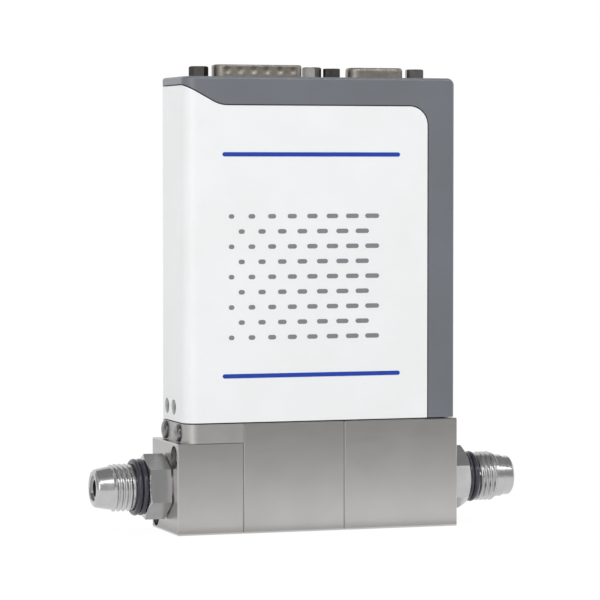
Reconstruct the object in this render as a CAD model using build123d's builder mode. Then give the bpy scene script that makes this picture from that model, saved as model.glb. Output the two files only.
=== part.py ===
from build123d import *

import os
from math import cos, radians, tan

# Thermal mass flow controller for gases. Millimetres. X runs along the flow, from inlet to outlet, the
# front cover faces -Y and the base rests on Z = 0. The origin is in the middle of the base.

os.makedirs("parts", exist_ok=True)

# ---- Angles that every piece shares ----
quarter_turn = 90
hex_sides = 6
hex_half_angle = 180 / hex_sides

# ---- Flow body ----
body_width = 25.4
flow_height = 12.7
inlet_block_length = 19.15
center_block_length = 29.6
outlet_block_length = 33.85
block_height = 30.7
bracket_height = 5.3
block_edge = 0.25
seam_gap = 0.04
port_radius = 2.3
socket_radius = 6.0
socket_depth = 8.0
gasket_inner_radius = 2.8
gasket_thickness = 0.8
splitter_bore_radius = 5.0
screen_thickness = 1.6
sensor_tap_radius = 0.8
splitter_end_gap = 1.2
channel_count = 8
channel_radius = 0.9
channel_wall = 0.5
tap_groove_width = 1.6
tap_groove_depth = 0.3

# ---- Fixing holes and screws of the flow body ----
mount_hole_spacing = 60.0
mount_hole_radius = 1.73
mount_hole_depth = 6.4
block_screw_side = 3.55
block_screw_edge = 3.9
block_screw_radius = 1.5
block_screw_head_radius = 2.75
block_screw_head_height = 3.0
block_screw_socket = 2.5
counterbore_radius = 3.2
counterbore_depth = 4.2
block_screw_grip = 7.0
tap_margin = 1.0
thread_clearance = 0.05
seam_seal_radius = 6.8
seam_seal_section = 0.6
seal_clearance = 0.06

# ---- Fittings, measured outward from the block's end face ----
hex_flats = 15.875
hex_bevel = 1.0
neck_radius = 7.4
stub_clearance = 0.05
nose_recess_radius = 3.6
nose_recess_depth = 0.7
thread_bevel = 0.6
inlet_hex_turn = 6.0
inlet_neck_length = 0.35
inlet_hex_length = 6.2
inlet_land_length = 3.4
inlet_thread_length = 6.35
inlet_nose_length = 4.4
inlet_thread_radius = 6.62
inlet_nose_radius = 6.02
inlet_tip_radius = 5.25
inlet_rim = 0.9
inlet_ring_radius = 7.1
inlet_ring_section = 0.8
outlet_hex_turn = 5.0
outlet_neck_length = 0.6
outlet_hex_length = 5.6
outlet_land_length = 3.3
outlet_thread_length = 6.1
outlet_step_length = 2.2
outlet_nose_length = 2.9
outlet_thread_radius = 7.02
outlet_step_radius = 6.02
outlet_nose_radius = 5.6
outlet_rim = 0.7
outlet_ring_radius = 6.42
outlet_ring_section = 0.81
ring_clearance = 0.02
ring_seat_clearance = 0.05

# ---- Case ----
case_left_inset = 2.2
case_right_inset = 1.0
case_gap = 0.35
case_height = 95.75
case_corner = 4.0
case_top_corner = 2.0
case_edge = 0.8
frame_wall = 2.4
frame_end_wall = 1.2
frame_top_wall = 2.3
frame_inner_corner = 1.0
frame_land = 3.0
cover_thickness = 1.2
cover_seat_clearance = 0.05
cover_groove = 0.35
cover_right_inset = 8.15
cover_top_inset = 8.0
cover_top_corner = 5.3
cover_left_drop = 2.5
cover_shoulder_slope = 28.6
cover_shoulder_radius = 9.0
foot_length = 4.7
foot_width = 14.0
foot_height = 4.3
foot_screw_spacing = 9.0

# ---- Cover bracket and its screws ----
tab_thickness = 2.0
tab_width = 14.0
tab_clearance = 0.1
tab_rise = 3.5
bracket_screw_spacing = 12.6
bracket_screw_head_radius = 2.55
bracket_screw_head_height = 1.7
bracket_screw_radius = 1.4
bracket_screw_grip = 4.0
cover_screw_spacing = 6.7
cover_screw_offset = 1.95
cover_screw_rise = 3.8
cover_screw_head_radius = 2.1
cover_screw_head_height = 1.0
cover_screw_radius = 1.1
cover_screw_proud = 0.1
recess_slot = 0.55
recess_depth = 0.8

# ---- Print on the cover ----
print_thickness = 0.05
rule_length = 52.2
rule_width = 1.2
rule_left = 10.8
upper_rule_drop = 21.5
lower_rule_rise = 12.85
dash_rows = 9
dash_columns = 8
dash_row_pitch = 4.2
dash_column_pitch = 5.9
dash_width = 1.25
dash_shortest = 1.6
dash_growth = 0.36
field_left = 13.4
field_rise = 23.5

# ---- D-sub connectors ----
shell_angle = 80.0
shell_corner = 2.6
shell_wall = 0.4
shell_rim = 0.35
shell_clearance = 0.3
flange_width = 12.55
flange_overhang = 2.6
flange_thickness = 0.8
flange_corner = 1.0
contact_pitch = 2.77
contact_row_gap = 2.84
contact_radius = 0.5
contact_clearance = 0.05
insulator_depth = 6.0
insulator_margin = 0.15
jackpost_flats = 4.76
jackpost_bevel = 0.3
jackpost_shank_radius = 1.4
jackpost_thread_radius = 1.15
jackpost_thread_depth = 4.5
jackpost_clearance = 0.1
clinch_radius = 2.3
clinch_depth = 2.2
first_post_margin = 7.77
plug_post_spacing = 33.32
plug_width = 25.7
plug_depth = 9.0
plug_shell_height = 5.84
plug_post_height = 3.05
plug_post_turns = (17.0, 0.0)
plug_row_count = 8
plug_face_height = 0.6
pin_drop = 0.8
dimple_radius = 1.5
dimple_depth = 0.3
dimple_pitch = 3.85
dimple_drop = 1.45
dimple_count = 6
post_gap = 5.905
socket_post_spacing = 24.99
socket_width = 16.33
socket_depth_across = 7.9
socket_shell_height = 5.3
socket_post_height = 2.75
socket_post_turns = (-18.5, -10.5)
socket_row_count = 5
socket_face_drop = 0.25
socket_sleeve_radius = 0.72
socket_sleeve_drop = 0.6
socket_sleeve_bore_depth = 5.0

# ---- Boards ----
board_thickness = 1.6
connector_board_margin = 2.0
connector_board_end_margin = 3.0
header_length = 20.0
header_height = 5.0
header_depth = 2.5
bracket_sheet = 1.2
bracket_side_clearance = 0.2
bracket_stem_width = 6.4
bracket_foot_depth = 16.0
bracket_stem_gap = 1.5
bracket_foot_screw_spacing = 8.0
board_side_margin = 5.0
board_top_gap = 2.5
board_valve_gap = 3.0
bracket_plate_inset = 1.0
standoff_radius = 2.2
standoff_length = 4.0
standoff_inset = 4.0
small_screw_radius = 0.95
small_screw_head_radius = 1.9
small_screw_head_height = 1.3
small_screw_grip = 3.0
processor_size = 14.0
processor_thickness = 1.4
driver_chip_length = 5.0
driver_chip_width = 4.0
driver_chip_thickness = 1.7
driver_chip_pitch = 8.0
capacitor_radius = 3.15
capacitor_height = 5.8
capacitor_pitch = 8.5
part_inset = 12.0

# ---- Flow sensor ----
sensor_from_seam = 12.65
sensor_leg_spacing = 8.0
sensor_base_length = 16.0
sensor_base_width = 18.4
sensor_base_height = 6.0
sensor_tube_radius = 0.55
sensor_tube_bore = 0.35
sensor_tube_rise = 16.0
sensor_bend_radius = 1.6
tube_clearance = 0.06
winding_radius = 1.1
winding_length = 1.8
winding_gap = 0.6
sensor_seal_radius = 1.7
sensor_seal_section = 0.4
sensor_cover_length = 14.0
sensor_cover_width = 9.2
sensor_cover_height = 21.0
sensor_cover_wall = 1.0
sensor_screw_spacing = 14.0

# ---- Control valve ----
valve_from_end = 18.9
valve_flange = 18.0
valve_flange_height = 4.0
valve_boss_radius = 6.5
valve_boss_height = 2.6
sleeve_radius = 5.0
plunger_radius = 4.0
plunger_clearance = 0.05
plunger_length = 22.0
plunger_lift = 0.4
lift_margin = 0.1
spring_pocket_radius = 2.6
spring_pocket_depth = 8.0
spring_radius = 2.0
spring_wire_radius = 0.3
spring_pitch = 1.6
spring_end_clearance = 0.02
chamber_radius = 6.5
chamber_depth = 6.0
orifice_radius = 3.2
orifice_thickness = 1.5
orifice_seat_radius = 1.8
orifice_seat_height = 1.0
orifice_bore = 0.9
feed_radius = 1.1
feed_offset = 4.6
drain_radius = 1.5
valve_seal_radius = 7.55
valve_seal_section = 0.55
valve_screw_spacing = 13.6
coil_radius = 8.6
coil_length = 22.0
coil_clearance = 0.15
yoke_sheet = 2.0
yoke_width = 14.0
yoke_strap_gap = 0.4
core_fit = 0.02
core_stud_radius = 2.4
core_stud_length = 4.0
coil_nut_flats = 13.0
coil_nut_height = 3.0

# ---- Places that follow from the sizes above ----
half_width = body_width / 2
total_length = inlet_block_length + center_block_length + outlet_block_length
inlet_face = -total_length / 2
outlet_face = total_length / 2
inlet_seam = inlet_face + inlet_block_length
outlet_seam = inlet_seam + center_block_length
step_height = block_height - bracket_height
case_left = inlet_face + case_left_inset
case_right = outlet_face - case_right_inset
case_bottom = block_height + case_gap
case_top = case_bottom + case_height
cover_right = case_right - cover_right_inset
cover_top = case_top - cover_top_inset
cover_left_top = case_top - cover_left_drop
top_inside = case_top - frame_top_wall
side_inside = half_width - cover_thickness
block_screw_y = half_width - block_screw_side
lower_screw_z = block_screw_edge
upper_screw_z = step_height - block_screw_edge
valve_x = outlet_face - valve_from_end
sensor_x = inlet_seam + sensor_from_seam

# Bare planes for the four ways that pieces face: each one's y runs up, or back on the horizontal ones.
TO_INLET = Plane(origin=(0, 0, 0), x_dir=(0, -1, 0), z_dir=(-1, 0, 0))
TO_OUTLET = Plane(origin=(0, 0, 0), x_dir=(0, 1, 0), z_dir=(1, 0, 0))
TO_FRONT = Plane.XZ
UP = Plane.XY
DOWN = Plane(origin=(0, 0, 0), x_dir=(1, 0, 0), z_dir=(0, 0, -1))


def keep(piece, name):
    """Labels a finished piece and writes it under its name."""
    piece.part.label = name
    export_step(piece.part, f"parts/{name}.step")


def spots(facing, *points):
    """Planes that face one way, each with its origin at one of the points."""
    return [Plane(origin=point, x_dir=facing.x_dir, z_dir=facing.z_dir) for point in points]


def section(seat):
    """The plane that holds the seat's axis: its x is a radius of the seat, its y the seat's normal."""
    return Plane(origin=seat.origin, x_dir=seat.x_dir, z_dir=-seat.y_dir)


def turn(seat, *points, mode=Mode.ADD):
    """Adds a solid turned round the seat's normal from an outline of (radius, height) points."""
    with BuildSketch(section(seat)) as profile:
        with BuildLine():
            Polyline(*points, close=True)
        make_face()
    revolve(profile.sketch, axis=Axis(seat.origin, seat.z_dir), mode=mode)


def hexagon(seat, flats, length, turned=0.0):
    """Adds a hexagonal bar that stands on the seat, two of its corners turned on from the seat's y."""
    with BuildSketch(seat) as outline:
        RegularPolygon(flats / 2, hex_sides, major_radius=False, rotation=hex_half_angle + turned)
    extrude(outline.sketch, amount=length)


def bevel(end, flats, depth):
    """Cuts the corners off a hexagonal bar's end, down to its flats, by a shallow cone."""
    flat_radius = flats / 2
    corner_rise = flat_radius / cos(radians(hex_half_angle)) - flat_radius
    outside = flat_radius + 2 * corner_rise
    turn(end, (flat_radius, 0), (outside, 0), (outside, -2 * depth), mode=Mode.SUBTRACT)


def torus(seat, radius, section_radius, height):
    """Adds a ring of round section, its centre line at the given height above the seat."""
    with BuildSketch(section(seat)) as profile:
        with Locations((radius, height)):
            Circle(section_radius)
    revolve(profile.sketch, axis=Axis(seat.origin, seat.z_dir))


def disc(seat, radius, thickness, hole=0.0):
    """Adds a round plate, or a ring, that stands on the seat."""
    with BuildSketch(seat) as outline:
        Circle(radius)
        if hole:
            Circle(hole, mode=Mode.SUBTRACT)
    extrude(outline.sketch, amount=thickness)


def slab(seat, length, width, thickness):
    """Adds a rectangular plate that stands on the seat."""
    with BuildSketch(seat) as outline:
        Rectangle(length, width)
    extrude(outline.sketch, amount=thickness)


def socket_screw(seat, head_radius, head_height, shank_radius, length, socket):
    """Adds a cap screw seated on the plane, with its hexagonal socket."""
    turn(
        seat,
        (0, -length),
        (shank_radius, -length),
        (shank_radius, 0),
        (head_radius, 0),
        (head_radius, head_height),
        (0, head_height),
    )
    with BuildSketch(seat.offset(head_height)) as recess:
        RegularPolygon(socket / 2, hex_sides, major_radius=False)
    extrude(recess.sketch, amount=-head_height / 2, mode=Mode.SUBTRACT)


def cross_screw(seat, head_radius, head_height, shank_radius, length):
    """Adds a screw with a domed head and a cross recess, seated on the plane."""
    shoulder = head_height / 2
    with BuildSketch(section(seat)) as profile:
        with BuildLine():
            Polyline(
                (0, head_height),
                (0, -length),
                (shank_radius, -length),
                (shank_radius, 0),
                (head_radius, 0),
                (head_radius, shoulder),
            )
            EllipticalCenterArc(
                (0, shoulder), head_radius, head_height - shoulder, 0, arc_size=quarter_turn
            )
        make_face()
    revolve(profile.sketch, axis=Axis(seat.origin, seat.z_dir))
    with BuildSketch(seat.offset(head_height)) as cross:
        Rectangle(head_radius, recess_slot)
        Rectangle(recess_slot, head_radius)
    extrude(cross.sketch, amount=-recess_depth, mode=Mode.SUBTRACT)


# ---- Flow body: three bars in line ----
socket_floor = socket_depth + gasket_thickness
chamber_floor = block_height - chamber_depth
feed_x = valve_x - feed_offset
foot_left = case_right - frame_end_wall - foot_length
foot_screw_x = foot_left + foot_length / 2
tapped_depth = block_screw_grip + tap_margin
bracket_screw_z = step_height + bracket_height / 2
stem_left = sensor_x + sensor_base_length / 2 + bracket_stem_gap
stem_x = stem_left + bracket_stem_width / 2
bracket_back = half_width - frame_wall - bracket_side_clearance
stem_foot_y = bracket_back - bracket_foot_depth / 2
valve_corner = valve_screw_spacing / 2
seal_groove = 2 * (seam_seal_section + seal_clearance)

inlet_screw_points = [(-block_screw_y, upper_screw_z), (block_screw_y, lower_screw_z)]
outlet_screw_points = [(block_screw_y, upper_screw_z), (-block_screw_y, lower_screw_z)]
bracket_screw_points = [(side * bracket_screw_spacing / 2, bracket_screw_z) for side in (-1, 1)]
sensor_tap_points = [(sensor_x + side * sensor_leg_spacing / 2, 0) for side in (-1, 1)]
sensor_screw_points = [(sensor_x, side * sensor_screw_spacing / 2) for side in (-1, 1)]
stem_screw_points = [
    (stem_x, stem_foot_y + side * bracket_foot_screw_spacing / 2) for side in (-1, 1)
]
valve_screw_points = [
    (valve_x + side * valve_corner, end * valve_corner) for side in (-1, 1) for end in (-1, 1)
]
foot_screw_points = [(foot_screw_x, side * foot_screw_spacing / 2) for side in (-1, 1)]
cover_screw_z = case_bottom + cover_screw_rise
cover_screw_points = [
    (cover_screw_offset + side * cover_screw_spacing / 2, cover_screw_z) for side in (-1, 1)
]


def on_end(x, facing, points):
    """Planes on an end face at x, one for each (Y, Z) point."""
    return spots(facing, *[(x, y, z) for y, z in points])


def on_level(z, points, facing=UP):
    """Planes on a level face at z, one for each (X, Y) point."""
    return spots(facing, *[(x, y, z) for x, y in points])


def flow_plane(x, facing):
    """The plane across the flow at x, with its origin on the flow's axis."""
    return Plane(origin=(x, 0, flow_height), x_dir=facing.x_dir, z_dir=facing.z_dir)


with BuildPart() as inlet_block:
    with Locations((inlet_face, 0, 0)):
        Box(
            inlet_block_length - seam_gap,
            body_width,
            step_height,
            align=(Align.MIN, Align.CENTER, Align.MIN),
        )
    chamfer(inlet_block.edges(), block_edge)
    with Locations(flow_plane(inlet_face, TO_INLET)):
        CounterBoreHole(port_radius, socket_radius, socket_floor)
    with Locations(*on_end(inlet_face, TO_INLET, inlet_screw_points)):
        CounterBoreHole(block_screw_radius + thread_clearance, counterbore_radius, counterbore_depth)
    with Locations(*on_level(0, [(-mount_hole_spacing / 2, 0)], DOWN)):
        Hole(mount_hole_radius, mount_hole_depth)
keep(inlet_block, "inlet_block")

with BuildPart() as center_block:
    with Locations((inlet_seam, 0, 0)):
        Box(
            center_block_length - seam_gap,
            body_width,
            block_height,
            align=(Align.MIN, Align.CENTER, Align.MIN),
        )
    chamfer(center_block.edges(), block_edge)
    with Locations(flow_plane(inlet_seam, TO_INLET)):
        Hole(splitter_bore_radius)
    for x, facing in ((inlet_seam, TO_INLET), (outlet_seam - seam_gap, TO_OUTLET)):
        with BuildSketch(flow_plane(x, facing)):
            Circle(seam_seal_radius + seam_seal_section + seal_clearance)
            Circle(seam_seal_radius - seam_seal_section - seal_clearance, mode=Mode.SUBTRACT)
        extrude(amount=-seal_groove, mode=Mode.SUBTRACT)
    with Locations(
        *on_end(inlet_seam, TO_INLET, inlet_screw_points),
        *on_end(outlet_seam, TO_OUTLET, outlet_screw_points),
    ):
        Hole(block_screw_radius + thread_clearance, tapped_depth)
    with Locations(*on_end(inlet_seam, TO_INLET, bracket_screw_points)):
        Hole(bracket_screw_radius + thread_clearance, bracket_screw_grip + tap_margin)
    with Locations(*on_level(block_height, sensor_tap_points)):
        Hole(sensor_tap_radius, block_height - flow_height)
    with Locations(*on_level(block_height, sensor_screw_points + stem_screw_points)):
        Hole(small_screw_radius + thread_clearance, small_screw_grip + tap_margin)
keep(center_block, "center_block")

with BuildPart() as outlet_block:
    with Locations((outlet_seam, 0, 0)):
        Box(outlet_block_length, body_width, block_height, align=(Align.MIN, Align.CENTER, Align.MIN))
    chamfer(outlet_block.edges(), block_edge)
    with Locations(flow_plane(outlet_seam, TO_INLET)):
        Hole(port_radius, feed_x - outlet_seam)
    with Locations(flow_plane(outlet_face, TO_OUTLET)):
        Hole(socket_radius, socket_floor)
        Hole(port_radius, outlet_face - valve_x)
    with Locations(*on_end(outlet_face, TO_OUTLET, outlet_screw_points)):
        CounterBoreHole(block_screw_radius + thread_clearance, counterbore_radius, counterbore_depth)
    with Locations(*on_level(block_height, [(valve_x, 0)])):
        Hole(chamber_radius, chamber_depth)
        Hole(orifice_radius + seal_clearance, chamber_depth + orifice_thickness)
        Hole(drain_radius, block_height - flow_height)
    with Locations(*on_level(block_height, [(feed_x, 0)])):
        Hole(feed_radius, block_height - flow_height)
    with BuildSketch(*on_level(block_height, [(valve_x, 0)])):
        Circle(valve_seal_radius + valve_seal_section + seal_clearance)
        Circle(valve_seal_radius - valve_seal_section - seal_clearance, mode=Mode.SUBTRACT)
    extrude(amount=-2 * (valve_seal_section + seal_clearance), mode=Mode.SUBTRACT)
    with Locations(*on_level(block_height, valve_screw_points + foot_screw_points)):
        Hole(small_screw_radius + thread_clearance, small_screw_grip + tap_margin)
    with Locations(*on_level(0, [(mount_hole_spacing / 2, 0)], DOWN)):
        Hole(mount_hole_radius, mount_hole_depth)
keep(outlet_block, "outlet_block")


def block_screw(seat, block_length):
    """Adds a cap screw that runs through a block of the given length into the centre block."""
    socket_screw(
        seat.offset(-counterbore_depth),
        block_screw_head_radius,
        block_screw_head_height,
        block_screw_radius,
        block_length - counterbore_depth + block_screw_grip,
        block_screw_socket,
    )


with BuildPart() as inlet_block_screws:
    for spot in on_end(inlet_face, TO_INLET, inlet_screw_points):
        block_screw(spot, inlet_block_length)
keep(inlet_block_screws, "inlet_block_screws")

with BuildPart() as outlet_block_screws:
    for spot in on_end(outlet_face, TO_OUTLET, outlet_screw_points):
        block_screw(spot, outlet_block_length)
keep(outlet_block_screws, "outlet_block_screws")

with BuildPart() as inlet_seam_seal:
    torus(
        flow_plane(inlet_seam, TO_OUTLET),
        seam_seal_radius,
        seam_seal_section,
        seam_seal_section + seal_clearance,
    )
keep(inlet_seam_seal, "inlet_seam_seal")

with BuildPart() as outlet_seam_seal:
    torus(
        flow_plane(outlet_seam - seam_gap, TO_INLET),
        seam_seal_radius,
        seam_seal_section,
        seam_seal_section + seal_clearance,
    )
keep(outlet_seam_seal, "outlet_seam_seal")


# ---- Fittings and their O-rings ----
def fitting_body(end, neck_length, hex_length, hex_turn, outline):
    """Adds a fitting on its end plane: a hex bevelled at its outer end, the turned outline and its bore."""
    inner_end = end.offset(neck_length)
    hexagon(inner_end, hex_flats, hex_length, hex_turn)
    bevel(inner_end.offset(hex_length), hex_flats, hex_bevel)
    turn(end, *outline)
    tip = outline[-1][1]
    with Locations(end.offset(tip)):
        Hole(port_radius, tip + socket_depth)
        Hole(nose_recess_radius, nose_recess_depth)


def stub_and_neck(land_radius, hex_end):
    """The outline points that both fittings share, from the socket's floor to the O-ring land."""
    stub_radius = socket_radius - stub_clearance
    return [
        (0, -socket_depth),
        (stub_radius, -socket_depth),
        (stub_radius, 0),
        (neck_radius, 0),
        (neck_radius, hex_end),
        (land_radius, hex_end),
    ]


inlet_land_start = inlet_neck_length + inlet_hex_length
inlet_thread_start = inlet_land_start + inlet_land_length
inlet_nose_start = inlet_thread_start + inlet_thread_length
inlet_reach = inlet_nose_start + inlet_nose_length
inlet_land_radius = inlet_ring_radius - inlet_ring_section - ring_seat_clearance

with BuildPart() as inlet_fitting:
    fitting_body(
        flow_plane(inlet_face, TO_INLET),
        inlet_neck_length,
        inlet_hex_length,
        inlet_hex_turn,
        stub_and_neck(inlet_land_radius, inlet_land_start)
        + [
            (inlet_land_radius, inlet_thread_start),
            (inlet_thread_radius - thread_bevel, inlet_thread_start),
            (inlet_thread_radius, inlet_thread_start + thread_bevel),
            (inlet_thread_radius, inlet_nose_start - thread_bevel),
            (inlet_nose_radius, inlet_nose_start),
            (inlet_tip_radius, inlet_reach - inlet_rim),
            (inlet_tip_radius - inlet_rim, inlet_reach),
            (0, inlet_reach),
        ],
    )
keep(inlet_fitting, "inlet_fitting")

outlet_land_start = outlet_neck_length + outlet_hex_length
outlet_thread_start = outlet_land_start + outlet_land_length
outlet_step_start = outlet_thread_start + outlet_thread_length
outlet_nose_start = outlet_step_start + outlet_step_length
outlet_reach = outlet_nose_start + outlet_nose_length
outlet_land_radius = outlet_ring_radius - outlet_ring_section - ring_seat_clearance

with BuildPart() as outlet_fitting:
    fitting_body(
        flow_plane(outlet_face, TO_OUTLET),
        outlet_neck_length,
        outlet_hex_length,
        outlet_hex_turn,
        stub_and_neck(outlet_land_radius, outlet_land_start)
        + [
            (outlet_land_radius, outlet_thread_start),
            (outlet_thread_radius - thread_bevel, outlet_thread_start),
            (outlet_thread_radius, outlet_thread_start + thread_bevel),
            (outlet_thread_radius, outlet_step_start - thread_bevel),
            (outlet_thread_radius - thread_bevel, outlet_step_start),
            (outlet_step_radius, outlet_step_start),
            (outlet_step_radius, outlet_nose_start),
            (outlet_nose_radius, outlet_nose_start),
            (outlet_nose_radius, outlet_reach - outlet_rim),
            (outlet_nose_radius - outlet_rim, outlet_reach),
            (0, outlet_reach),
        ],
    )
keep(outlet_fitting, "outlet_fitting")


def fitting_ring(end, land_start, radius, section_radius, place):
    """Adds one O-ring to a fitting's land: place 0 is against the hex, place 1 is beside it."""
    pitch = 2 * section_radius + ring_clearance
    torus(end, radius, section_radius, land_start + section_radius + ring_clearance + place * pitch)


with BuildPart() as inlet_inner_o_ring:
    fitting_ring(
        flow_plane(inlet_face, TO_INLET), inlet_land_start, inlet_ring_radius, inlet_ring_section, 0
    )
keep(inlet_inner_o_ring, "inlet_inner_o_ring")

with BuildPart() as inlet_outer_o_ring:
    fitting_ring(
        flow_plane(inlet_face, TO_INLET), inlet_land_start, inlet_ring_radius, inlet_ring_section, 1
    )
keep(inlet_outer_o_ring, "inlet_outer_o_ring")

with BuildPart() as outlet_inner_o_ring:
    fitting_ring(
        flow_plane(outlet_face, TO_OUTLET), outlet_land_start, outlet_ring_radius, outlet_ring_section, 0
    )
keep(outlet_inner_o_ring, "outlet_inner_o_ring")

with BuildPart() as outlet_outer_o_ring:
    fitting_ring(
        flow_plane(outlet_face, TO_OUTLET), outlet_land_start, outlet_ring_radius, outlet_ring_section, 1
    )
keep(outlet_outer_o_ring, "outlet_outer_o_ring")

with BuildPart() as inlet_gasket:
    disc(
        flow_plane(inlet_face + socket_floor, TO_INLET),
        socket_radius - stub_clearance,
        gasket_thickness,
        gasket_inner_radius,
    )
keep(inlet_gasket, "inlet_gasket")

with BuildPart() as outlet_gasket:
    disc(
        flow_plane(outlet_face - socket_floor, TO_OUTLET),
        socket_radius - stub_clearance,
        gasket_thickness,
        gasket_inner_radius,
    )
keep(outlet_gasket, "outlet_gasket")


# ---- Screen and flow splitter in the centre block ----
splitter_radius = splitter_bore_radius - core_fit
splitter_start = inlet_seam + screen_thickness
splitter_length = center_block_length - seam_gap - screen_thickness - 2 * splitter_end_gap
channel_turn = splitter_radius - channel_radius - channel_wall

with BuildPart() as inlet_screen:
    disc(flow_plane(inlet_seam, TO_OUTLET), splitter_radius, screen_thickness)
keep(inlet_screen, "inlet_screen")

with BuildPart() as flow_splitter:
    disc(flow_plane(splitter_start + splitter_end_gap, TO_OUTLET), splitter_radius, splitter_length)
    with BuildSketch(flow_plane(splitter_start + splitter_end_gap, TO_OUTLET)):
        with PolarLocations(channel_turn, channel_count):
            Circle(channel_radius)
    extrude(amount=splitter_length, mode=Mode.SUBTRACT)
    for x, y in sensor_tap_points:
        with BuildSketch(flow_plane(x - tap_groove_width / 2, TO_OUTLET)):
            Circle(splitter_radius)
            Circle(splitter_radius - tap_groove_depth, mode=Mode.SUBTRACT)
        extrude(amount=tap_groove_width, mode=Mode.SUBTRACT)
keep(flow_splitter, "flow_splitter")


# ---- Case: a grey frame and the white cover let into it ----
def plan(z, inset, end_inset, left_corner, right_corner):
    """The case's outline seen from above, drawn at height z, with its walls set in by the insets."""
    with BuildSketch(Plane.XY.offset(z)) as outline:
        with BuildLine():
            FilletPolyline(
                (case_left + inset, -half_width + inset),
                (case_right - end_inset, -half_width + inset),
                (case_right - end_inset, half_width - inset),
                (case_left + inset, half_width - inset),
                radius=[left_corner, right_corner, right_corner, left_corner],
                close=True,
            )
        make_face()
    return outline.sketch


def window(margin, bottom):
    """The front outline of the cover from a given bottom, grown all round by the margin."""
    shoulder_x = case_left + (cover_left_top - cover_top) / tan(radians(cover_shoulder_slope))
    lean = margin * tan(radians(cover_shoulder_slope / 2))
    with BuildSketch(Plane.XZ) as outline:
        with BuildLine():
            FilletPolyline(
                (case_left - frame_land, bottom),
                (cover_right + margin, bottom),
                (cover_right + margin, cover_top + margin),
                (shoulder_x + lean, cover_top + margin),
                (case_left + lean, cover_left_top + margin),
                (case_left - frame_land, cover_left_top + margin),
                radius=[0, 0, cover_top_corner + margin, cover_shoulder_radius - margin, 0, 0],
                close=True,
            )
        make_face()
    return outline.sketch


def d_outline(z, x, width, depth, corner, growth=0.0):
    """The D-shaped outline of a connector at height z, its long side towards the front."""
    wide, deep, rounding = width + 2 * growth, depth + 2 * growth, corner + growth
    sharp = wide + 2 * rounding * (1 / tan(radians(shell_angle / 2)) - 1)
    with BuildSketch(Plane(origin=(x, 0, z))) as outline:
        Trapezoid(sharp, deep, shell_angle)
        fillet(outline.vertices(), rounding)
    return outline.sketch


def post_points(x, post_spacing):
    """The places of a connector's two jackposts, given the middle of the connector."""
    return [(x + side * post_spacing / 2, 0) for side in (-1, 1)]


below_case = case_bottom - frame_land
room_height = case_height + 2 * frame_land
plug_x = case_left + first_post_margin + plug_post_spacing / 2
socket_x = plug_x + (plug_post_spacing + socket_post_spacing) / 2 + post_gap
connector_sizes = [
    (plug_x, plug_width, plug_depth, plug_post_spacing),
    (socket_x, socket_width, socket_depth_across, socket_post_spacing),
]

with BuildPart() as cover_room:
    extrude(
        plan(below_case, -frame_land, -frame_land, case_corner, frame_inner_corner),
        amount=room_height,
    )
    extrude(
        plan(
            below_case,
            cover_thickness + cover_seat_clearance,
            -2 * frame_land,
            case_corner - cover_thickness - cover_seat_clearance,
            frame_inner_corner,
        ),
        amount=room_height,
        mode=Mode.SUBTRACT,
    )
    extrude(window(cover_groove, below_case), amount=body_width, both=True, mode=Mode.INTERSECT)

with BuildPart() as housing_frame:
    with BuildSketch(Plane.XZ):
        with BuildLine():
            FilletPolyline(
                (case_left, case_bottom),
                (case_right, case_bottom),
                (case_right, case_top),
                (case_left, case_top),
                radius=[0, 0, case_top_corner, 0],
                close=True,
            )
        make_face()
    extrude(amount=half_width, both=True)
    fillet(housing_frame.edges().filter_by(Axis.Z).group_by(Axis.X)[0], case_corner)
    # One edge is enough: the rounding follows it round the top and down both right-hand corners.
    fillet(housing_frame.faces().sort_by(Axis.Z)[-1].edges().sort_by(Axis.X)[0], case_edge)
    extrude(
        plan(case_bottom, frame_wall, frame_end_wall, case_corner - frame_wall, frame_inner_corner),
        amount=case_height - frame_top_wall,
        mode=Mode.SUBTRACT,
    )
    add(cover_room.part, mode=Mode.SUBTRACT)
    extrude(window(-frame_land, below_case), amount=body_width, both=True, mode=Mode.SUBTRACT)
    with Locations((foot_left, 0, block_height)):
        Box(
            foot_length + frame_end_wall / 2,
            foot_width,
            foot_height,
            align=(Align.MIN, Align.CENTER, Align.MIN),
        )
    with Locations(*on_level(block_height + foot_height, foot_screw_points)):
        Hole(small_screw_radius + thread_clearance, foot_height)
    for x, width, depth, post_spacing in connector_sizes:
        opening = d_outline(top_inside, x, width, depth, shell_corner, shell_clearance)
        extrude(opening, amount=frame_top_wall, mode=Mode.SUBTRACT)
        with Locations(*on_level(case_top, post_points(x, post_spacing))):
            Hole(jackpost_shank_radius + jackpost_clearance, frame_top_wall)
keep(housing_frame, "housing_frame")

with BuildPart() as cover:
    extrude(plan(case_bottom, 0, 0, case_corner, frame_inner_corner), amount=case_height)
    extrude(
        plan(case_bottom, cover_thickness, 0, case_corner - cover_thickness, frame_inner_corner),
        amount=case_height,
        mode=Mode.SUBTRACT,
    )
    extrude(window(0, case_bottom), amount=body_width, both=True, mode=Mode.INTERSECT)
    with Locations(*on_end(case_left, TO_INLET, cover_screw_points)):
        CounterBoreHole(
            cover_screw_radius + thread_clearance,
            cover_screw_head_radius + thread_clearance,
            cover_screw_head_height - cover_screw_proud,
            cover_thickness,
        )
keep(cover, "cover")


# ---- Bracket under the cover's left end, and the screws of both ----
tab_left = case_left + cover_thickness + tab_clearance
tab_top = cover_screw_z + tab_rise
bracket_length = inlet_seam - case_left

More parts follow.
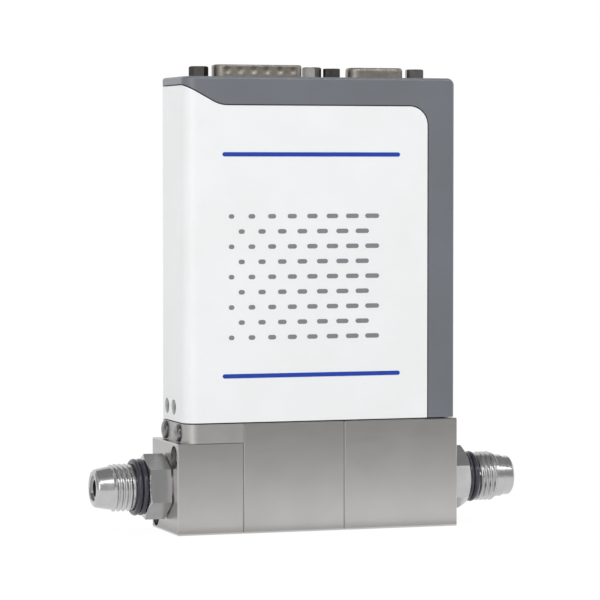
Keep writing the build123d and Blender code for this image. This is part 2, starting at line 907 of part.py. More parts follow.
with BuildPart() as cover_bracket:
    with BuildSketch(Plane.XY.offset(step_height)):
        with BuildLine():
            FilletPolyline(
                (case_left, -half_width),
                (inlet_seam - seam_gap, -half_width),
                (inlet_seam - seam_gap, half_width),
                (case_left, half_width),
                radius=[case_corner, 0, 0, case_corner],
                close=True,
            )
        make_face()
    extrude(amount=bracket_height)
    with BuildSketch(Plane.XY.offset(block_height)):
        with Locations((tab_left, cover_screw_offset)):
            Rectangle(tab_thickness, tab_width, align=(Align.MIN, Align.CENTER))
    extrude(amount=tab_top - block_height)
    with Locations(*on_end(case_left, TO_INLET, bracket_screw_points)):
        Hole(bracket_screw_radius + thread_clearance)
    with Locations(*on_end(tab_left, TO_INLET, cover_screw_points)):
        Hole(cover_screw_radius + thread_clearance, tab_thickness)
keep(cover_bracket, "cover_bracket")

with BuildPart() as bracket_screws:
    for spot in on_end(case_left, TO_INLET, bracket_screw_points):
        cross_screw(
            spot,
            bracket_screw_head_radius,
            bracket_screw_head_height,
            bracket_screw_radius,
            bracket_length + bracket_screw_grip,
        )
keep(bracket_screws, "bracket_screws")

cover_screw_seat = case_left + cover_screw_head_height - cover_screw_proud
with BuildPart() as cover_screws:
    for spot in on_end(cover_screw_seat, TO_INLET, cover_screw_points):
        cross_screw(
            spot,
            cover_screw_head_radius,
            cover_screw_head_height,
            cover_screw_radius,
            tab_left + tab_thickness - cover_screw_seat,
        )
keep(cover_screws, "cover_screws")

foot_top = block_height + foot_height
with BuildPart() as frame_screws:
    for spot in on_level(foot_top, foot_screw_points):
        cross_screw(
            spot,
            small_screw_head_radius,
            small_screw_head_height,
            small_screw_radius,
            foot_height + small_screw_grip,
        )
keep(frame_screws, "frame_screws")


# ---- Print on the cover's front ----
rule_x = case_left + rule_left + rule_length / 2

with BuildPart() as blue_rules:
    with BuildSketch(Plane.XZ.offset(half_width)):
        with Locations((rule_x, case_top - upper_rule_drop), (rule_x, case_bottom + lower_rule_rise)):
            SlotOverall(rule_length, rule_width)
    extrude(amount=print_thickness)
keep(blue_rules, "blue_rules")

with BuildPart() as dash_field:
    with BuildSketch(Plane.XZ.offset(half_width)):
        for row in range(dash_rows):
            shift = row % 2
            for column in range(dash_columns - shift):
                step = column + shift / 2
                x = case_left + field_left + step * dash_column_pitch
                z = case_bottom + field_rise + row * dash_row_pitch
                with Locations((x, z)):
                    SlotOverall(dash_shortest + step * dash_growth, dash_width)
    extrude(amount=print_thickness)
keep(dash_field, "dash_field")


# ---- D-sub connectors under the case's top ----
def shell(x, width, depth, height, post_spacing):
    """Adds a connector's pressed shell: its flange under the top, clinched nuts and the D-shaped rim."""
    flange_base = top_inside - flange_thickness
    with BuildSketch(Plane(origin=(x, 0, flange_base))) as flange:
        RectangleRounded(post_spacing + 2 * flange_overhang, flange_width, flange_corner)
    extrude(flange.sketch, amount=flange_thickness)
    rim_height = flange_thickness + height
    cup = extrude(
        d_outline(flange_base, x, width, depth, shell_corner), amount=rim_height, mode=Mode.PRIVATE
    ).solid()
    add(cup.fillet(shell_rim, cup.faces().sort_by(Axis.Z)[-1].edges()))
    for spot in on_level(flange_base, post_points(x, post_spacing), DOWN):
        disc(spot, clinch_radius, clinch_depth)
    extrude(
        d_outline(flange_base, x, width, depth, shell_corner, -shell_wall),
        amount=rim_height,
        mode=Mode.SUBTRACT,
    )
    with Locations(*on_level(top_inside, post_points(x, post_spacing))):
        Hole(jackpost_shank_radius + thread_clearance, flange_thickness + clinch_depth)


def contact_points(x, long_row):
    """The contacts' places: the long row towards the front, the short one behind it."""
    rows = ((long_row, -contact_row_gap / 2), (long_row - 1, contact_row_gap / 2))
    return [
        (x + (place - (count - 1) / 2) * contact_pitch, y) for count, y in rows for place in range(count)
    ]


def insulator(x, width, depth, long_row, face_z, hole_radius):
    """Adds the moulded body that holds a connector's contacts, from the board up to its face."""
    base = top_inside - flange_thickness - insulator_depth
    body = d_outline(base, x, width, depth, shell_corner, -shell_wall - insulator_margin)
    extrude(body, amount=face_z - base)
    with Locations(*[(px, py, face_z) for px, py in contact_points(x, long_row)]):
        Hole(hole_radius + contact_clearance, face_z - base)


def jackposts(x, post_spacing, height, turns):
    """Adds the two hexagonal posts that clamp a connector to the top, each tapped for a plug's screw."""
    shank_length = frame_top_wall + flange_thickness + clinch_depth
    for foot, turned in zip(on_level(case_top, post_points(x, post_spacing)), turns):
        head = foot.offset(height)
        hexagon(foot, jackpost_flats, height, turned)
        bevel(head, jackpost_flats, jackpost_bevel)
        disc(foot.offset(-shank_length), jackpost_shank_radius, shank_length)
        with Locations(head):
            Hole(jackpost_thread_radius, jackpost_thread_depth)


plug_top = top_inside + plug_shell_height
socket_top = top_inside + socket_shell_height
connector_base = top_inside - flange_thickness - insulator_depth
plug_face = top_inside + plug_face_height
socket_face = socket_top - socket_face_drop
board_under = connector_base - board_thickness

with BuildPart() as plug_shell:
    shell(plug_x, plug_width, plug_depth, plug_shell_height, plug_post_spacing)
    dimple_y = plug_depth / 2 + dimple_radius - dimple_depth
    for place in range(dimple_count):
        x = plug_x + (place - (dimple_count - 1) / 2) * dimple_pitch
        with Locations(*on_level(plug_top - dimple_drop, [(x, -dimple_y), (x, dimple_y)])):
            Sphere(dimple_radius, mode=Mode.SUBTRACT)
keep(plug_shell, "plug_shell")

with BuildPart() as plug_insulator:
    insulator(plug_x, plug_width, plug_depth, plug_row_count, plug_face, contact_radius)
keep(plug_insulator, "plug_insulator")

with BuildPart() as plug_pins:
    pin_length = plug_top - pin_drop - board_under
    for x, y in contact_points(plug_x, plug_row_count):
        disc(Plane(origin=(x, y, board_under)), contact_radius, pin_length)
keep(plug_pins, "plug_pins")

with BuildPart() as plug_jackposts:
    jackposts(plug_x, plug_post_spacing, plug_post_height, plug_post_turns)
keep(plug_jackposts, "plug_jackposts")

with BuildPart() as socket_shell:
    shell(socket_x, socket_width, socket_depth_across, socket_shell_height, socket_post_spacing)
keep(socket_shell, "socket_shell")

with BuildPart() as socket_insulator:
    insulator(
        socket_x,
        socket_width,
        socket_depth_across,
        socket_row_count,
        socket_face,
        socket_sleeve_radius,
    )
keep(socket_insulator, "socket_insulator")

with BuildPart() as socket_contacts:
    sleeve_top = socket_face - socket_sleeve_drop
    for x, y in contact_points(socket_x, socket_row_count):
        disc(Plane(origin=(x, y, board_under)), contact_radius, board_thickness)
        disc(Plane(origin=(x, y, connector_base)), socket_sleeve_radius, sleeve_top - connector_base)
        with Locations((x, y, sleeve_top)):
            Hole(contact_radius, socket_sleeve_bore_depth)
keep(socket_contacts, "socket_contacts")

with BuildPart() as socket_jackposts:
    jackposts(socket_x, socket_post_spacing, socket_post_height, socket_post_turns)
keep(socket_jackposts, "socket_jackposts")


# ---- Boards: one level under the connectors, one upright on a sheet bracket ----
inside_left = case_left + frame_wall
inside_right = case_right - frame_end_wall
level_left = inside_left + connector_board_end_margin
level_right = inside_right - connector_board_end_margin
level_width = 2 * (side_inside - connector_board_margin)
yoke_base = block_height + valve_flange_height + valve_boss_height
yoke_top = yoke_base + 2 * yoke_sheet + coil_length
valve_top = yoke_top + core_stud_length
board_left = inside_left + board_side_margin
board_right = inside_right - board_side_margin
board_base = valve_top + board_valve_gap
board_top = board_under - board_top_gap
board_x = (board_left + board_right) / 2
board_z = (board_base + board_top) / 2
sheet_front = bracket_back - bracket_sheet
board_back = sheet_front - standoff_length
board_front = board_back - board_thickness
standoff_x = (board_right - board_left) / 2 - standoff_inset
standoff_z = (board_top - board_base) / 2 - standoff_inset
standoff_points = [
    (board_x + side * standoff_x, board_z + end * standoff_z) for side in (-1, 1) for end in (-1, 1)
]


def on_upright(y, points, facing=TO_FRONT):
    """Planes on an upright face at y, one for each (X, Z) point."""
    return spots(facing, *[(x, y, z) for x, z in points])


with BuildPart() as connector_board:
    with BuildSketch(Plane.XY.offset(board_under)):
        with Locations(((level_left + level_right) / 2, 0)):
            Rectangle(level_right - level_left, level_width)
        with Locations(
            *contact_points(plug_x, plug_row_count),
            *contact_points(socket_x, socket_row_count),
        ):
            Circle(contact_radius + contact_clearance, mode=Mode.SUBTRACT)
    extrude(amount=board_thickness)
keep(connector_board, "connector_board")

with BuildPart() as board_bracket:
    with BuildSketch(Plane.XZ.offset(-bracket_back)):
        with BuildLine():
            Polyline(
                (stem_left, block_height),
                (stem_left + bracket_stem_width, block_height),
                (stem_left + bracket_stem_width, board_base + bracket_plate_inset),
                (board_right - bracket_plate_inset, board_base + bracket_plate_inset),
                (board_right - bracket_plate_inset, board_top - bracket_plate_inset),
                (board_left + bracket_plate_inset, board_top - bracket_plate_inset),
                (board_left + bracket_plate_inset, board_base + bracket_plate_inset),
                (stem_left, board_base + bracket_plate_inset),
                close=True,
            )
        make_face()
    extrude(amount=bracket_sheet)
    with BuildSketch(Plane.XY.offset(block_height)):
        with Locations((stem_x, bracket_back)):
            Rectangle(bracket_stem_width, bracket_foot_depth, align=(Align.CENTER, Align.MAX))
    extrude(amount=bracket_sheet)
    with Locations(*on_level(block_height + bracket_sheet, stem_screw_points)):
        Hole(small_screw_radius + thread_clearance, bracket_sheet)
    with Locations(*on_upright(sheet_front, standoff_points)):
        Hole(small_screw_radius + thread_clearance, bracket_sheet)
keep(board_bracket, "board_bracket")

with BuildPart() as bracket_foot_screws:
    for spot in on_level(block_height + bracket_sheet, stem_screw_points):
        cross_screw(
            spot,
            small_screw_head_radius,
            small_screw_head_height,
            small_screw_radius,
            bracket_sheet + small_screw_grip,
        )
keep(bracket_foot_screws, "bracket_foot_screws")

with BuildPart() as board_standoffs:
    for spot in on_upright(sheet_front, standoff_points):
        disc(spot, standoff_radius, standoff_length, small_screw_radius + thread_clearance)
keep(board_standoffs, "board_standoffs")

with BuildPart() as main_board:
    with BuildSketch(Plane.XZ.offset(-board_back)):
        with Locations((board_x, board_z)):
            Rectangle(board_right - board_left, board_top - board_base)
        with Locations(*standoff_points):
            Circle(small_screw_radius + thread_clearance, mode=Mode.SUBTRACT)
    extrude(amount=board_thickness)
keep(main_board, "main_board")

with BuildPart() as board_screws:
    for spot in on_upright(board_front, standoff_points):
        cross_screw(
            spot,
            small_screw_head_radius,
            small_screw_head_height,
            small_screw_radius,
            board_thickness + standoff_length,
        )
keep(board_screws, "board_screws")

with BuildPart() as board_header:
    with BuildSketch(Plane.XY.offset(board_under - header_height)):
        with Locations((board_x, board_front)):
            Rectangle(header_length, header_depth, align=(Align.CENTER, Align.MAX))
    extrude(amount=header_height)
keep(board_header, "board_header")

with BuildPart() as processor:
    slab(
        *on_upright(board_front, [(board_x, board_z)]),
        processor_size,
        processor_size,
        processor_thickness,
    )
keep(processor, "processor")

with BuildPart() as driver_chips:
    for place in (-1, 0, 1):
        slab(
            *on_upright(board_front, [(board_right - part_inset, board_z + place * driver_chip_pitch)]),
            driver_chip_length,
            driver_chip_width,
            driver_chip_thickness,
        )
keep(driver_chips, "driver_chips")

with BuildPart() as capacitors:
    for place in (-1, 0, 1):
        spot = on_upright(board_front, [(board_left + part_inset, board_z + place * capacitor_pitch)])[0]
        disc(spot, capacitor_radius, capacitor_height)
keep(capacitors, "capacitors")


# ---- Flow sensor: a bent tube with two windings, under its own cover ----
sensor_shelf = block_height + sensor_base_height
tube_base = block_height + 2 * (sensor_seal_section + seal_clearance)
tube_top = sensor_shelf + sensor_tube_rise
left_leg, right_leg = (x for x, y in sensor_tap_points)

with BuildPart() as sensor_base:
    with BuildSketch(Plane.XY.offset(block_height)):
        with Locations((sensor_x, 0)):
            Rectangle(sensor_base_length, sensor_base_width)
    extrude(amount=sensor_base_height)
    with Locations(*on_level(sensor_shelf, sensor_tap_points)):
        Hole(sensor_tube_radius + tube_clearance, sensor_base_height)
    with Locations(*on_level(block_height, sensor_tap_points, DOWN)):
        Hole(
            sensor_seal_radius + sensor_seal_section + seal_clearance,
            2 * (sensor_seal_section + seal_clearance),
        )
    with Locations(*on_level(sensor_shelf, sensor_screw_points)):
        Hole(small_screw_radius + thread_clearance, sensor_base_height)
keep(sensor_base, "sensor_base")

with BuildPart() as sensor_seals:
    for spot in on_level(block_height, sensor_tap_points):
        torus(spot, sensor_seal_radius, sensor_seal_section, sensor_seal_section + seal_clearance)
keep(sensor_seals, "sensor_seals")

with BuildPart() as sensor_tube:
    with BuildLine() as tube_path:
        FilletPolyline(
            (left_leg, 0, tube_base),
            (left_leg, 0, tube_top),
            (right_leg, 0, tube_top),
            (right_leg, 0, tube_base),
            radius=sensor_bend_radius,
        )
    with BuildSketch(Plane(origin=(left_leg, 0, tube_base))):
        Circle(sensor_tube_radius)
        Circle(sensor_tube_bore, mode=Mode.SUBTRACT)
    sweep(path=tube_path.line)
keep(sensor_tube, "sensor_tube")

with BuildPart() as sensor_windings:
    winding_reach = winding_gap / 2 + winding_length
    for start in (-winding_reach, winding_gap / 2):
        spot = Plane(origin=(sensor_x + start, 0, tube_top), x_dir=(0, 1, 0), z_dir=(1, 0, 0))
        disc(spot, winding_radius, winding_length, sensor_tube_radius + tube_clearance)
keep(sensor_windings, "sensor_windings")

with BuildPart() as sensor_cover:
    with BuildSketch(Plane.XY.offset(sensor_shelf)):
        with Locations((sensor_x, 0)):
            Rectangle(sensor_cover_length, sensor_cover_width)
    extrude(amount=sensor_cover_height)
    offset(
        amount=-sensor_cover_wall,
        openings=sensor_cover.faces().sort_by(Axis.Z)[0],
        kind=Kind.INTERSECTION,
    )
keep(sensor_cover, "sensor_cover")

with BuildPart() as sensor_screws:
    for spot in on_level(sensor_shelf, sensor_screw_points):
        cross_screw(
            spot,
            small_screw_head_radius,
            small_screw_head_height,
            small_screw_radius,
            sensor_base_height + small_screw_grip,
        )
keep(sensor_screws, "sensor_screws")


# ---- Control valve: a plunger lifted off an orifice by a coil ----
sleeve_bore = plunger_radius + plunger_clearance
orifice_top = chamber_floor + orifice_seat_height
plunger_top = orifice_top + plunger_length
core_base = plunger_top + plunger_lift + lift_margin
flange_top = block_height + valve_flange_height


def valve_plane(z):
    """The level plane at height z, with its origin on the valve's axis."""
    return Plane(origin=(valve_x, 0, z))


with BuildPart() as valve_orifice:
    disc(valve_plane(chamber_floor - orifice_thickness), orifice_radius, orifice_thickness, orifice_bore)
    disc(valve_plane(chamber_floor), orifice_seat_radius, orifice_seat_height, orifice_bore)
keep(valve_orifice, "valve_orifice")

with BuildPart() as valve_seal:
    torus(
        valve_plane(block_height),
        valve_seal_radius,
        valve_seal_section,
        -valve_seal_section - seal_clearance,
    )
keep(valve_seal, "valve_seal")

with BuildPart() as valve_body:
    slab(valve_plane(block_height), valve_flange, valve_flange, valve_flange_height)
    disc(valve_plane(flange_top), valve_boss_radius, valve_boss_height)
    disc(valve_plane(flange_top), sleeve_radius, yoke_top - flange_top)
    with Locations(valve_plane(yoke_top)):
        Hole(sleeve_bore)
    with Locations(*on_level(flange_top, valve_screw_points)):
        Hole(small_screw_radius + thread_clearance, valve_flange_height)
keep(valve_body, "valve_body")

with BuildPart() as valve_screws:
    for spot in on_level(flange_top, valve_screw_points):
        cross_screw(
            spot,
            small_screw_head_radius,
            small_screw_head_height,
            small_screw_radius,
            valve_flange_height + small_screw_grip,
        )
keep(valve_screws, "valve_screws")

with BuildPart() as valve_plunger:
    disc(valve_plane(orifice_top), plunger_radius, plunger_length)
    with Locations(valve_plane(plunger_top)):
        Hole(spring_pocket_radius, spring_pocket_depth)
keep(valve_plunger, "valve_plunger")

spring_floor = plunger_top - spring_pocket_depth
spring_end = spring_wire_radius + spring_end_clearance
with BuildPart() as valve_spring:
    with BuildLine(valve_plane(spring_floor + spring_end)) as coils:
        Helix(spring_pitch, core_base - spring_floor - 2 * spring_end, spring_radius)
    with BuildSketch(Plane(origin=coils.line @ 0, z_dir=coils.line % 0)):
        Circle(spring_wire_radius)
    sweep(path=coils.line, is_frenet=True)
keep(valve_spring, "valve_spring")

with BuildPart() as valve_core:
    disc(valve_plane(core_base), sleeve_bore - core_fit, yoke_top - core_base)
    disc(valve_plane(yoke_top), core_stud_radius, core_stud_length)
keep(valve_core, "valve_core")

with BuildPart() as solenoid_coil:
    disc(valve_plane(yoke_base + yoke_sheet), coil_radius, coil_length, sleeve_radius + coil_clearance)
keep(solenoid_coil, "solenoid_coil")

with BuildPart() as coil_yoke:
    yoke_left = valve_x - coil_radius
    yoke_inside = valve_x + coil_radius + yoke_strap_gap
    with BuildSketch(Plane.XZ):
        with BuildLine():
            Polyline(
                (yoke_left, yoke_base),
                (yoke_inside + yoke_sheet, yoke_base),
                (yoke_inside + yoke_sheet, yoke_top),
                (yoke_left, yoke_top),
                (yoke_left, yoke_top - yoke_sheet),
                (yoke_inside, yoke_top - yoke_sheet),
                (yoke_inside, yoke_base + yoke_sheet),
                (yoke_left, yoke_base + yoke_sheet),
                close=True,
            )
        make_face()
    extrude(amount=yoke_width / 2, both=True)
    with Locations(valve_plane(yoke_top)):
        Hole(sleeve_radius + coil_clearance)
keep(coil_yoke, "coil_yoke")

with BuildPart() as coil_nut:
    hexagon(valve_plane(yoke_top), coil_nut_flats, coil_nut_height)
    with Locations(valve_plane(yoke_top + coil_nut_height)):
        Hole(core_stud_radius + thread_clearance, coil_nut_height)
keep(coil_nut, "coil_nut")
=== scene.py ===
"""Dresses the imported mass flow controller: fittings, fasteners, connectors, finishes and studio."""

import math

import bmesh
import bpy
from mathutils import Matrix, Vector


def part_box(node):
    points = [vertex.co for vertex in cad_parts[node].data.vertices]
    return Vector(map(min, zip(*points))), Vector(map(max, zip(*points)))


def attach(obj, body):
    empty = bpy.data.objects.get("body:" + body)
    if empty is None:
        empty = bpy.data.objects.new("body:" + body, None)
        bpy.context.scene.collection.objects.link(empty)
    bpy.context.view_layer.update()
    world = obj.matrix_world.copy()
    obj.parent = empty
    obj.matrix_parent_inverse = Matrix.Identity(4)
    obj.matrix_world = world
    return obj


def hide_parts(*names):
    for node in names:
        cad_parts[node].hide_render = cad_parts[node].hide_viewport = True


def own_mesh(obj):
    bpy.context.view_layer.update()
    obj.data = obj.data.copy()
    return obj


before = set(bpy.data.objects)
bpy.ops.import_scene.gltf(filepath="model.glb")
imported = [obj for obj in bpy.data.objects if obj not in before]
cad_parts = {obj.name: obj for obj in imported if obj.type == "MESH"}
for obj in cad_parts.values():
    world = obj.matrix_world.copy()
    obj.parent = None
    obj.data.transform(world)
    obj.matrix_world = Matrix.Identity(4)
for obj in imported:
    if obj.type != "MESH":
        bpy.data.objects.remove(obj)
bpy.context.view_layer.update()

MM = 0.001
FULL_TURN = 2 * math.pi
SMOOTH_UNDER = math.radians(35)
MERGE = 0.002 * MM


# ---- Building meshes ----
def mesh_of(name, build, angle=SMOOTH_UNDER):
    """A mesh object from what build(bm) draws, in metres, with its faces pointing out."""
    bm = bmesh.new()
    build(bm)
    bmesh.ops.remove_doubles(bm, verts=bm.verts, dist=MERGE)
    bmesh.ops.dissolve_degenerate(bm, edges=bm.edges, dist=MERGE)
    bmesh.ops.recalc_face_normals(bm, faces=bm.faces)
    mesh = bpy.data.meshes.new(name)
    bm.to_mesh(mesh)
    bm.free()
    mesh.shade_smooth()
    mesh.set_sharp_from_angle(angle=angle)
    piece = bpy.data.objects.new(name, mesh)
    bpy.context.scene.collection.objects.link(piece)
    return piece


def skin(bm, rows, closed_rows=False):
    """Joins rows of points, all of one length, into a sheet of faces."""
    made = [[bm.verts.new(point) for point in row] for row in rows]
    pairs = list(zip(made, made[1:]))
    if closed_rows:
        pairs.append((made[-1], made[0]))
    for low, high in pairs:
        for i in range(len(low) - 1):
            bm.faces.new((low[i], low[i + 1], high[i + 1], high[i]))


def put(piece, matrix):
    """Places a piece by moving its mesh, so that its object stays at the origin."""
    piece.data.transform(matrix)
    return piece


def stand_for(piece, slot, body, finish, *nodes):
    """Gives a piece its finish and its body, and hides the nodes it stands for; its slot argument is not
    used.
    """
    if finish is not None:
        piece.data.materials.clear()
        piece.data.materials.append(finish)
    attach(piece, body)
    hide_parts(*nodes)


# ---- Finishes ----
def linear(hex_colour):
    """An sRGB hex colour in the linear values that shaders take."""
    channels = [int(hex_colour[i : i + 2], 16) / 255 for i in (1, 3, 5)]
    curved = [c / 12.92 if c <= 0.04045 else ((c + 0.055) / 1.055) ** 2.4 for c in channels]
    return (*curved, 1.0)


def add(tree, kind, inputs=None, **settings):
    """Adds one node with its settings; an input is a value, or the socket that feeds it."""
    made = tree.nodes.new(kind)
    for name, value in settings.items():
        setattr(made, name, value)
    for name, value in (inputs or {}).items():
        if isinstance(value, bpy.types.NodeSocket):
            tree.links.new(value, made.inputs[name])
        else:
            made.inputs[name].default_value = value
    return made


def start_finish(name, roughness, metallic=0.0, **sockets):
    """A named material with its shader and the Object coordinates that its patterns read."""
    finish = bpy.data.materials.new(name)
    finish.use_nodes = True
    tree = finish.node_tree
    shader = tree.nodes["Principled BSDF"]
    shader.inputs["Roughness"].default_value = roughness
    shader.inputs["Metallic"].default_value = metallic
    for socket, value in sockets.items():
        shader.inputs[socket.replace("_", " ")].default_value = value
    place = add(tree, "ShaderNodeTexCoord").outputs["Object"]
    return finish, tree, shader, place


def mottle(tree, place, dark, light, size_mm, stretch=(1, 1, 1), contrast=1.0):
    """A soft, uneven mix of two near colours; size_mm is how wide one patch is."""
    stretched = add(tree, "ShaderNodeMapping", {"Vector": place, "Scale": stretch})
    noise = add(
        tree,
        "ShaderNodeTexNoise",
        {"Vector": stretched.outputs[0], "Scale": 1 / (size_mm * MM), "Detail": 3.0, "Roughness": 0.55},
    )
    spread = add(
        tree,
        "ShaderNodeMapRange",
        {0: noise.outputs["Fac"], 1: 0.5 - 0.25 / contrast, 2: 0.5 + 0.25 / contrast},
    )
    mix = add(
        tree,
        "ShaderNodeMix",
        {0: spread.outputs[0], 6: linear(dark), 7: linear(light)},
        data_type="RGBA",
    )
    return mix.outputs[2]


def streaks(tree, place, size_mm, stretch):
    """A noise value drawn out along one axis, as a grinding belt or a lathe tool leaves it."""
    stretched = add(tree, "ShaderNodeMapping", {"Vector": place, "Scale": stretch})
    noise = add(
        tree,
        "ShaderNodeTexNoise",
        {"Vector": stretched.outputs[0], "Scale": 1 / (size_mm * MM), "Detail": 4.0},
    )
    return noise.outputs["Fac"]


def vary(tree, shader, value, low, high):
    """Lets a pattern value move the shader's roughness between two limits."""
    span = add(tree, "ShaderNodeMapRange", {0: value, 3: low, 4: high})
    tree.links.new(span.outputs[0], shader.inputs["Roughness"])


def relief(tree, shader, value, depth_mm, strength):
    """Raises the surface by a pattern value, up to depth_mm."""
    bump = add(tree, "ShaderNodeBump", {"Height": value, "Distance": depth_mm * MM, "Strength": strength})
    tree.links.new(bump.outputs[0], shader.inputs["Normal"])


def colour(tree, shader, source):
    """Feeds the shader's base colour from a pattern, or sets it to one hex colour."""
    if isinstance(source, str):
        shader.inputs["Base Color"].default_value = linear(source)
    else:
        tree.links.new(source, shader.inputs["Base Color"])


def milled_stainless():
    """316L bar, finely milled and rubbed along its length: satin, with faint broad clouds."""
    finish, tree, shader, place = start_finish("milled_stainless", 0.3, metallic=1.0)
    colour(tree, shader, mottle(tree, place, "#BDBBB9", "#CAC8C6", 14, contrast=0.6))
    lines = streaks(tree, place, 0.35, (0.03, 1.0, 1.0))
    vary(tree, shader, lines, 0.26, 0.38)
    relief(tree, shader, lines, 0.01, 0.25)
    return finish


def turned_stainless(name, dark, light, low, high):
    """316L turned on a lathe: brighter than the blocks, with rings round the flow's axis.
    The tool's feed of 0.1 mm is drawn three times as coarse so that the rings show."""
    finish, tree, shader, place = start_finish(name, low, metallic=1.0)
    colour(tree, shader, mottle(tree, place, dark, light, 5))
    rings = streaks(tree, place, 0.3, (1.0, 0.02, 0.02))
    vary(tree, shader, rings, low, high)
    relief(tree, shader, rings, 0.012, 0.35)
    return finish


def blasted_stainless():
    """Stainless bar blasted with fine beads: an even grey with no direction to it."""
    finish, tree, shader, place = start_finish("blasted_stainless", 0.45, metallic=1.0)
    colour(tree, shader, mottle(tree, place, "#BCBAB8", "#C6C4C1", 6))
    beads = streaks(tree, place, 0.15, (1, 1, 1))
    vary(tree, shader, beads, 0.38, 0.5)
    relief(tree, shader, beads, 0.015, 0.3)
    return finish


def shade_darkened_screw_steel():
    """A rolled and polished stainless screw: nearly mirror bright, with faint rub marks; its base colour
    is painted shade, set far darker than stainless for heads that sit in shadow.
    """
    finish, tree, shader, place = start_finish("shade_darkened_screw_steel", 0.16, metallic=1.0)
    # painted shade: these dark greys stand for the shadow on the screw heads and in their counterbores,
    # not for the colour of stainless
    colour(tree, shader, mottle(tree, place, "#727276", "#8E8D8F", 1.5))
    vary(tree, shader, streaks(tree, place, 0.4, (1, 1, 1)), 0.1, 0.2)
    return finish


def powder_coat(name, dark, light, low, high, grain_mm, strength, gloss=0.0):
    """Baked powder paint: an even colour, and the slight orange peel that the powder flows to."""
    finish, tree, shader, place = start_finish(name, low, Coat_Weight=gloss, Coat_Roughness=0.25)
    colour(tree, shader, mottle(tree, place, dark, light, 18))
    peel = streaks(tree, place, grain_mm, (1, 1, 1))
    vary(tree, shader, peel, low, high)
    relief(tree, shader, peel, 0.02, strength)
    return finish


def screen_ink(name, dark, light):
    """Epoxy ink pressed through a mesh: dense, a little glossier than the paint it lies on."""
    finish, tree, shader, place = start_finish(name, 0.34)
    colour(tree, shader, mottle(tree, place, dark, light, 3))
    mesh_marks = streaks(tree, place, 0.12, (1, 1, 1))
    relief(tree, shader, mesh_marks, 0.006, 0.3)
    return finish


def fluoroelastomer():
    """Moulded fluoroelastomer: a violet black with the soft sheen of clean rubber."""
    finish, tree, shader, place = start_finish("fluoroelastomer", 0.22)
    colour(tree, shader, mottle(tree, place, "#33313B", "#413F49", 2))
    skin_grain = streaks(tree, place, 0.2, (1, 1, 1))
    vary(tree, shader, skin_grain, 0.16, 0.28)
    relief(tree, shader, skin_grain, 0.01, 0.25)
    return finish


def tinned_steel():
    """Pressed steel dipped in tin: warm grey, with the cloudy bloom of the dip."""
    finish, tree, shader, place = start_finish("tinned_steel", 0.32, metallic=1.0)
    colour(tree, shader, mottle(tree, place, "#8F8A82", "#AAA49B", 1.6))
    bloom = streaks(tree, place, 0.5, (1, 1, 1))
    vary(tree, shader, bloom, 0.38, 0.55)
    relief(tree, shader, bloom, 0.01, 0.25)
    return finish


def nickel_post():
    """Turned hexagonal bar with dark nickel plate: smooth facets, faint die lines up each one."""
    finish, tree, shader, place = start_finish("nickel_post", 0.22, metallic=1.0)
    colour(tree, shader, mottle(tree, place, "#55545A", "#66655F", 4))
    lines = streaks(tree, place, 0.15, (1, 1, 0.05))
    vary(tree, shader, lines, 0.18, 0.3)
    relief(tree, shader, lines, 0.008, 0.3)
    return finish


def plain_plated(name, dark, light, low, high):
    """Smooth plated metal of an inner piece, with a slight change of shine over it."""
    finish, tree, shader, place = start_finish(name, low, metallic=1.0)
    colour(tree, shader, mottle(tree, place, dark, light, 2.5))
    vary(tree, shader, streaks(tree, place, 0.6, (1, 1, 1)), low, high)
    return finish


def moulded(name, dark, light, roughness):
    """Moulded plastic or epoxy of an inner piece: fine even grain."""
    finish, tree, shader, place = start_finish(name, roughness)
    colour(tree, shader, mottle(tree, place, dark, light, 2))
    relief(tree, shader, streaks(tree, place, 0.18, (1, 1, 1)), 0.01, 0.3)
    return finish


def solder_mask_board():
    """Glass-epoxy board under green solder mask: the copper tracks show as raised lighter lines."""
    finish, tree, shader, place = start_finish("solder_mask_board", 0.3)
    cells = add(
        tree,
        "ShaderNodeTexBrick",
        {
            "Vector": place,
            "Scale": 1 / (6 * MM),
            "Mortar Size": 0.06,
            "Color1": linear("#0E4B2B"),
            "Color2": linear("#105331"),
            "Mortar": linear("#1F7A48"),
        },
    )
    colour(tree, shader, cells.outputs["Color"])
    relief(tree, shader, cells.outputs["Fac"], 0.03, 0.4)
    return finish


def coil_wrap():
    """Polyimide tape wound over the copper: amber and glossy, one edge of the tape each 3 mm."""
    finish, tree, shader, place = start_finish("coil_wrap", 0.25)
    bands = add(
        tree,
        "ShaderNodeTexWave",
        {"Vector": place, "Scale": 1 / (3 * MM) / FULL_TURN, "Distortion": 0.6},
        bands_direction="Z",
    )
    mix = add(
        tree,
        "ShaderNodeMix",
        {0: bands.outputs["Fac"], 6: linear("#A5581A"), 7: linear("#C8762A")},
        data_type="RGBA",
    )
    colour(tree, shader, mix.outputs[2])
    relief(tree, shader, bands.outputs["Fac"], 0.02, 0.3)
    return finish


blocks = milled_stainless()
fitting_steel = turned_stainless("turned_stainless", "#B9B9BA", "#C6C6C6", 0.2, 0.3)
inner_steel = turned_stainless("bored_stainless", "#9A9894", "#A8A6A1", 0.25, 0.38)
bracket_steel = blasted_stainless()
screw_steel = shade_darkened_screw_steel()
grey_paint = powder_coat("grey_powder_coat", "#6C7076", "#72767D", 0.36, 0.46, 0.45, 0.22, 0.4)
white_paint = powder_coat("white_powder_coat", "#F2F4F4", "#F6F8F9", 0.30, 0.38, 0.6, 0.12)
blue_ink = screen_ink("blue_screen_ink", "#123AA6", "#1A42B0")
grey_ink = screen_ink("grey_screen_ink", "#808186", "#8A8B90")
rubber = fluoroelastomer()
shell_tin = tinned_steel()
post_nickel = nickel_post()
insulator_plastic = moulded("connector_thermoplastic", "#2E2825", "#37312D", 0.45)
contact_gold = plain_plated("flash_gold", "#C79A45", "#D9AE59", 0.2, 0.32)
board_mask = solder_mask_board()
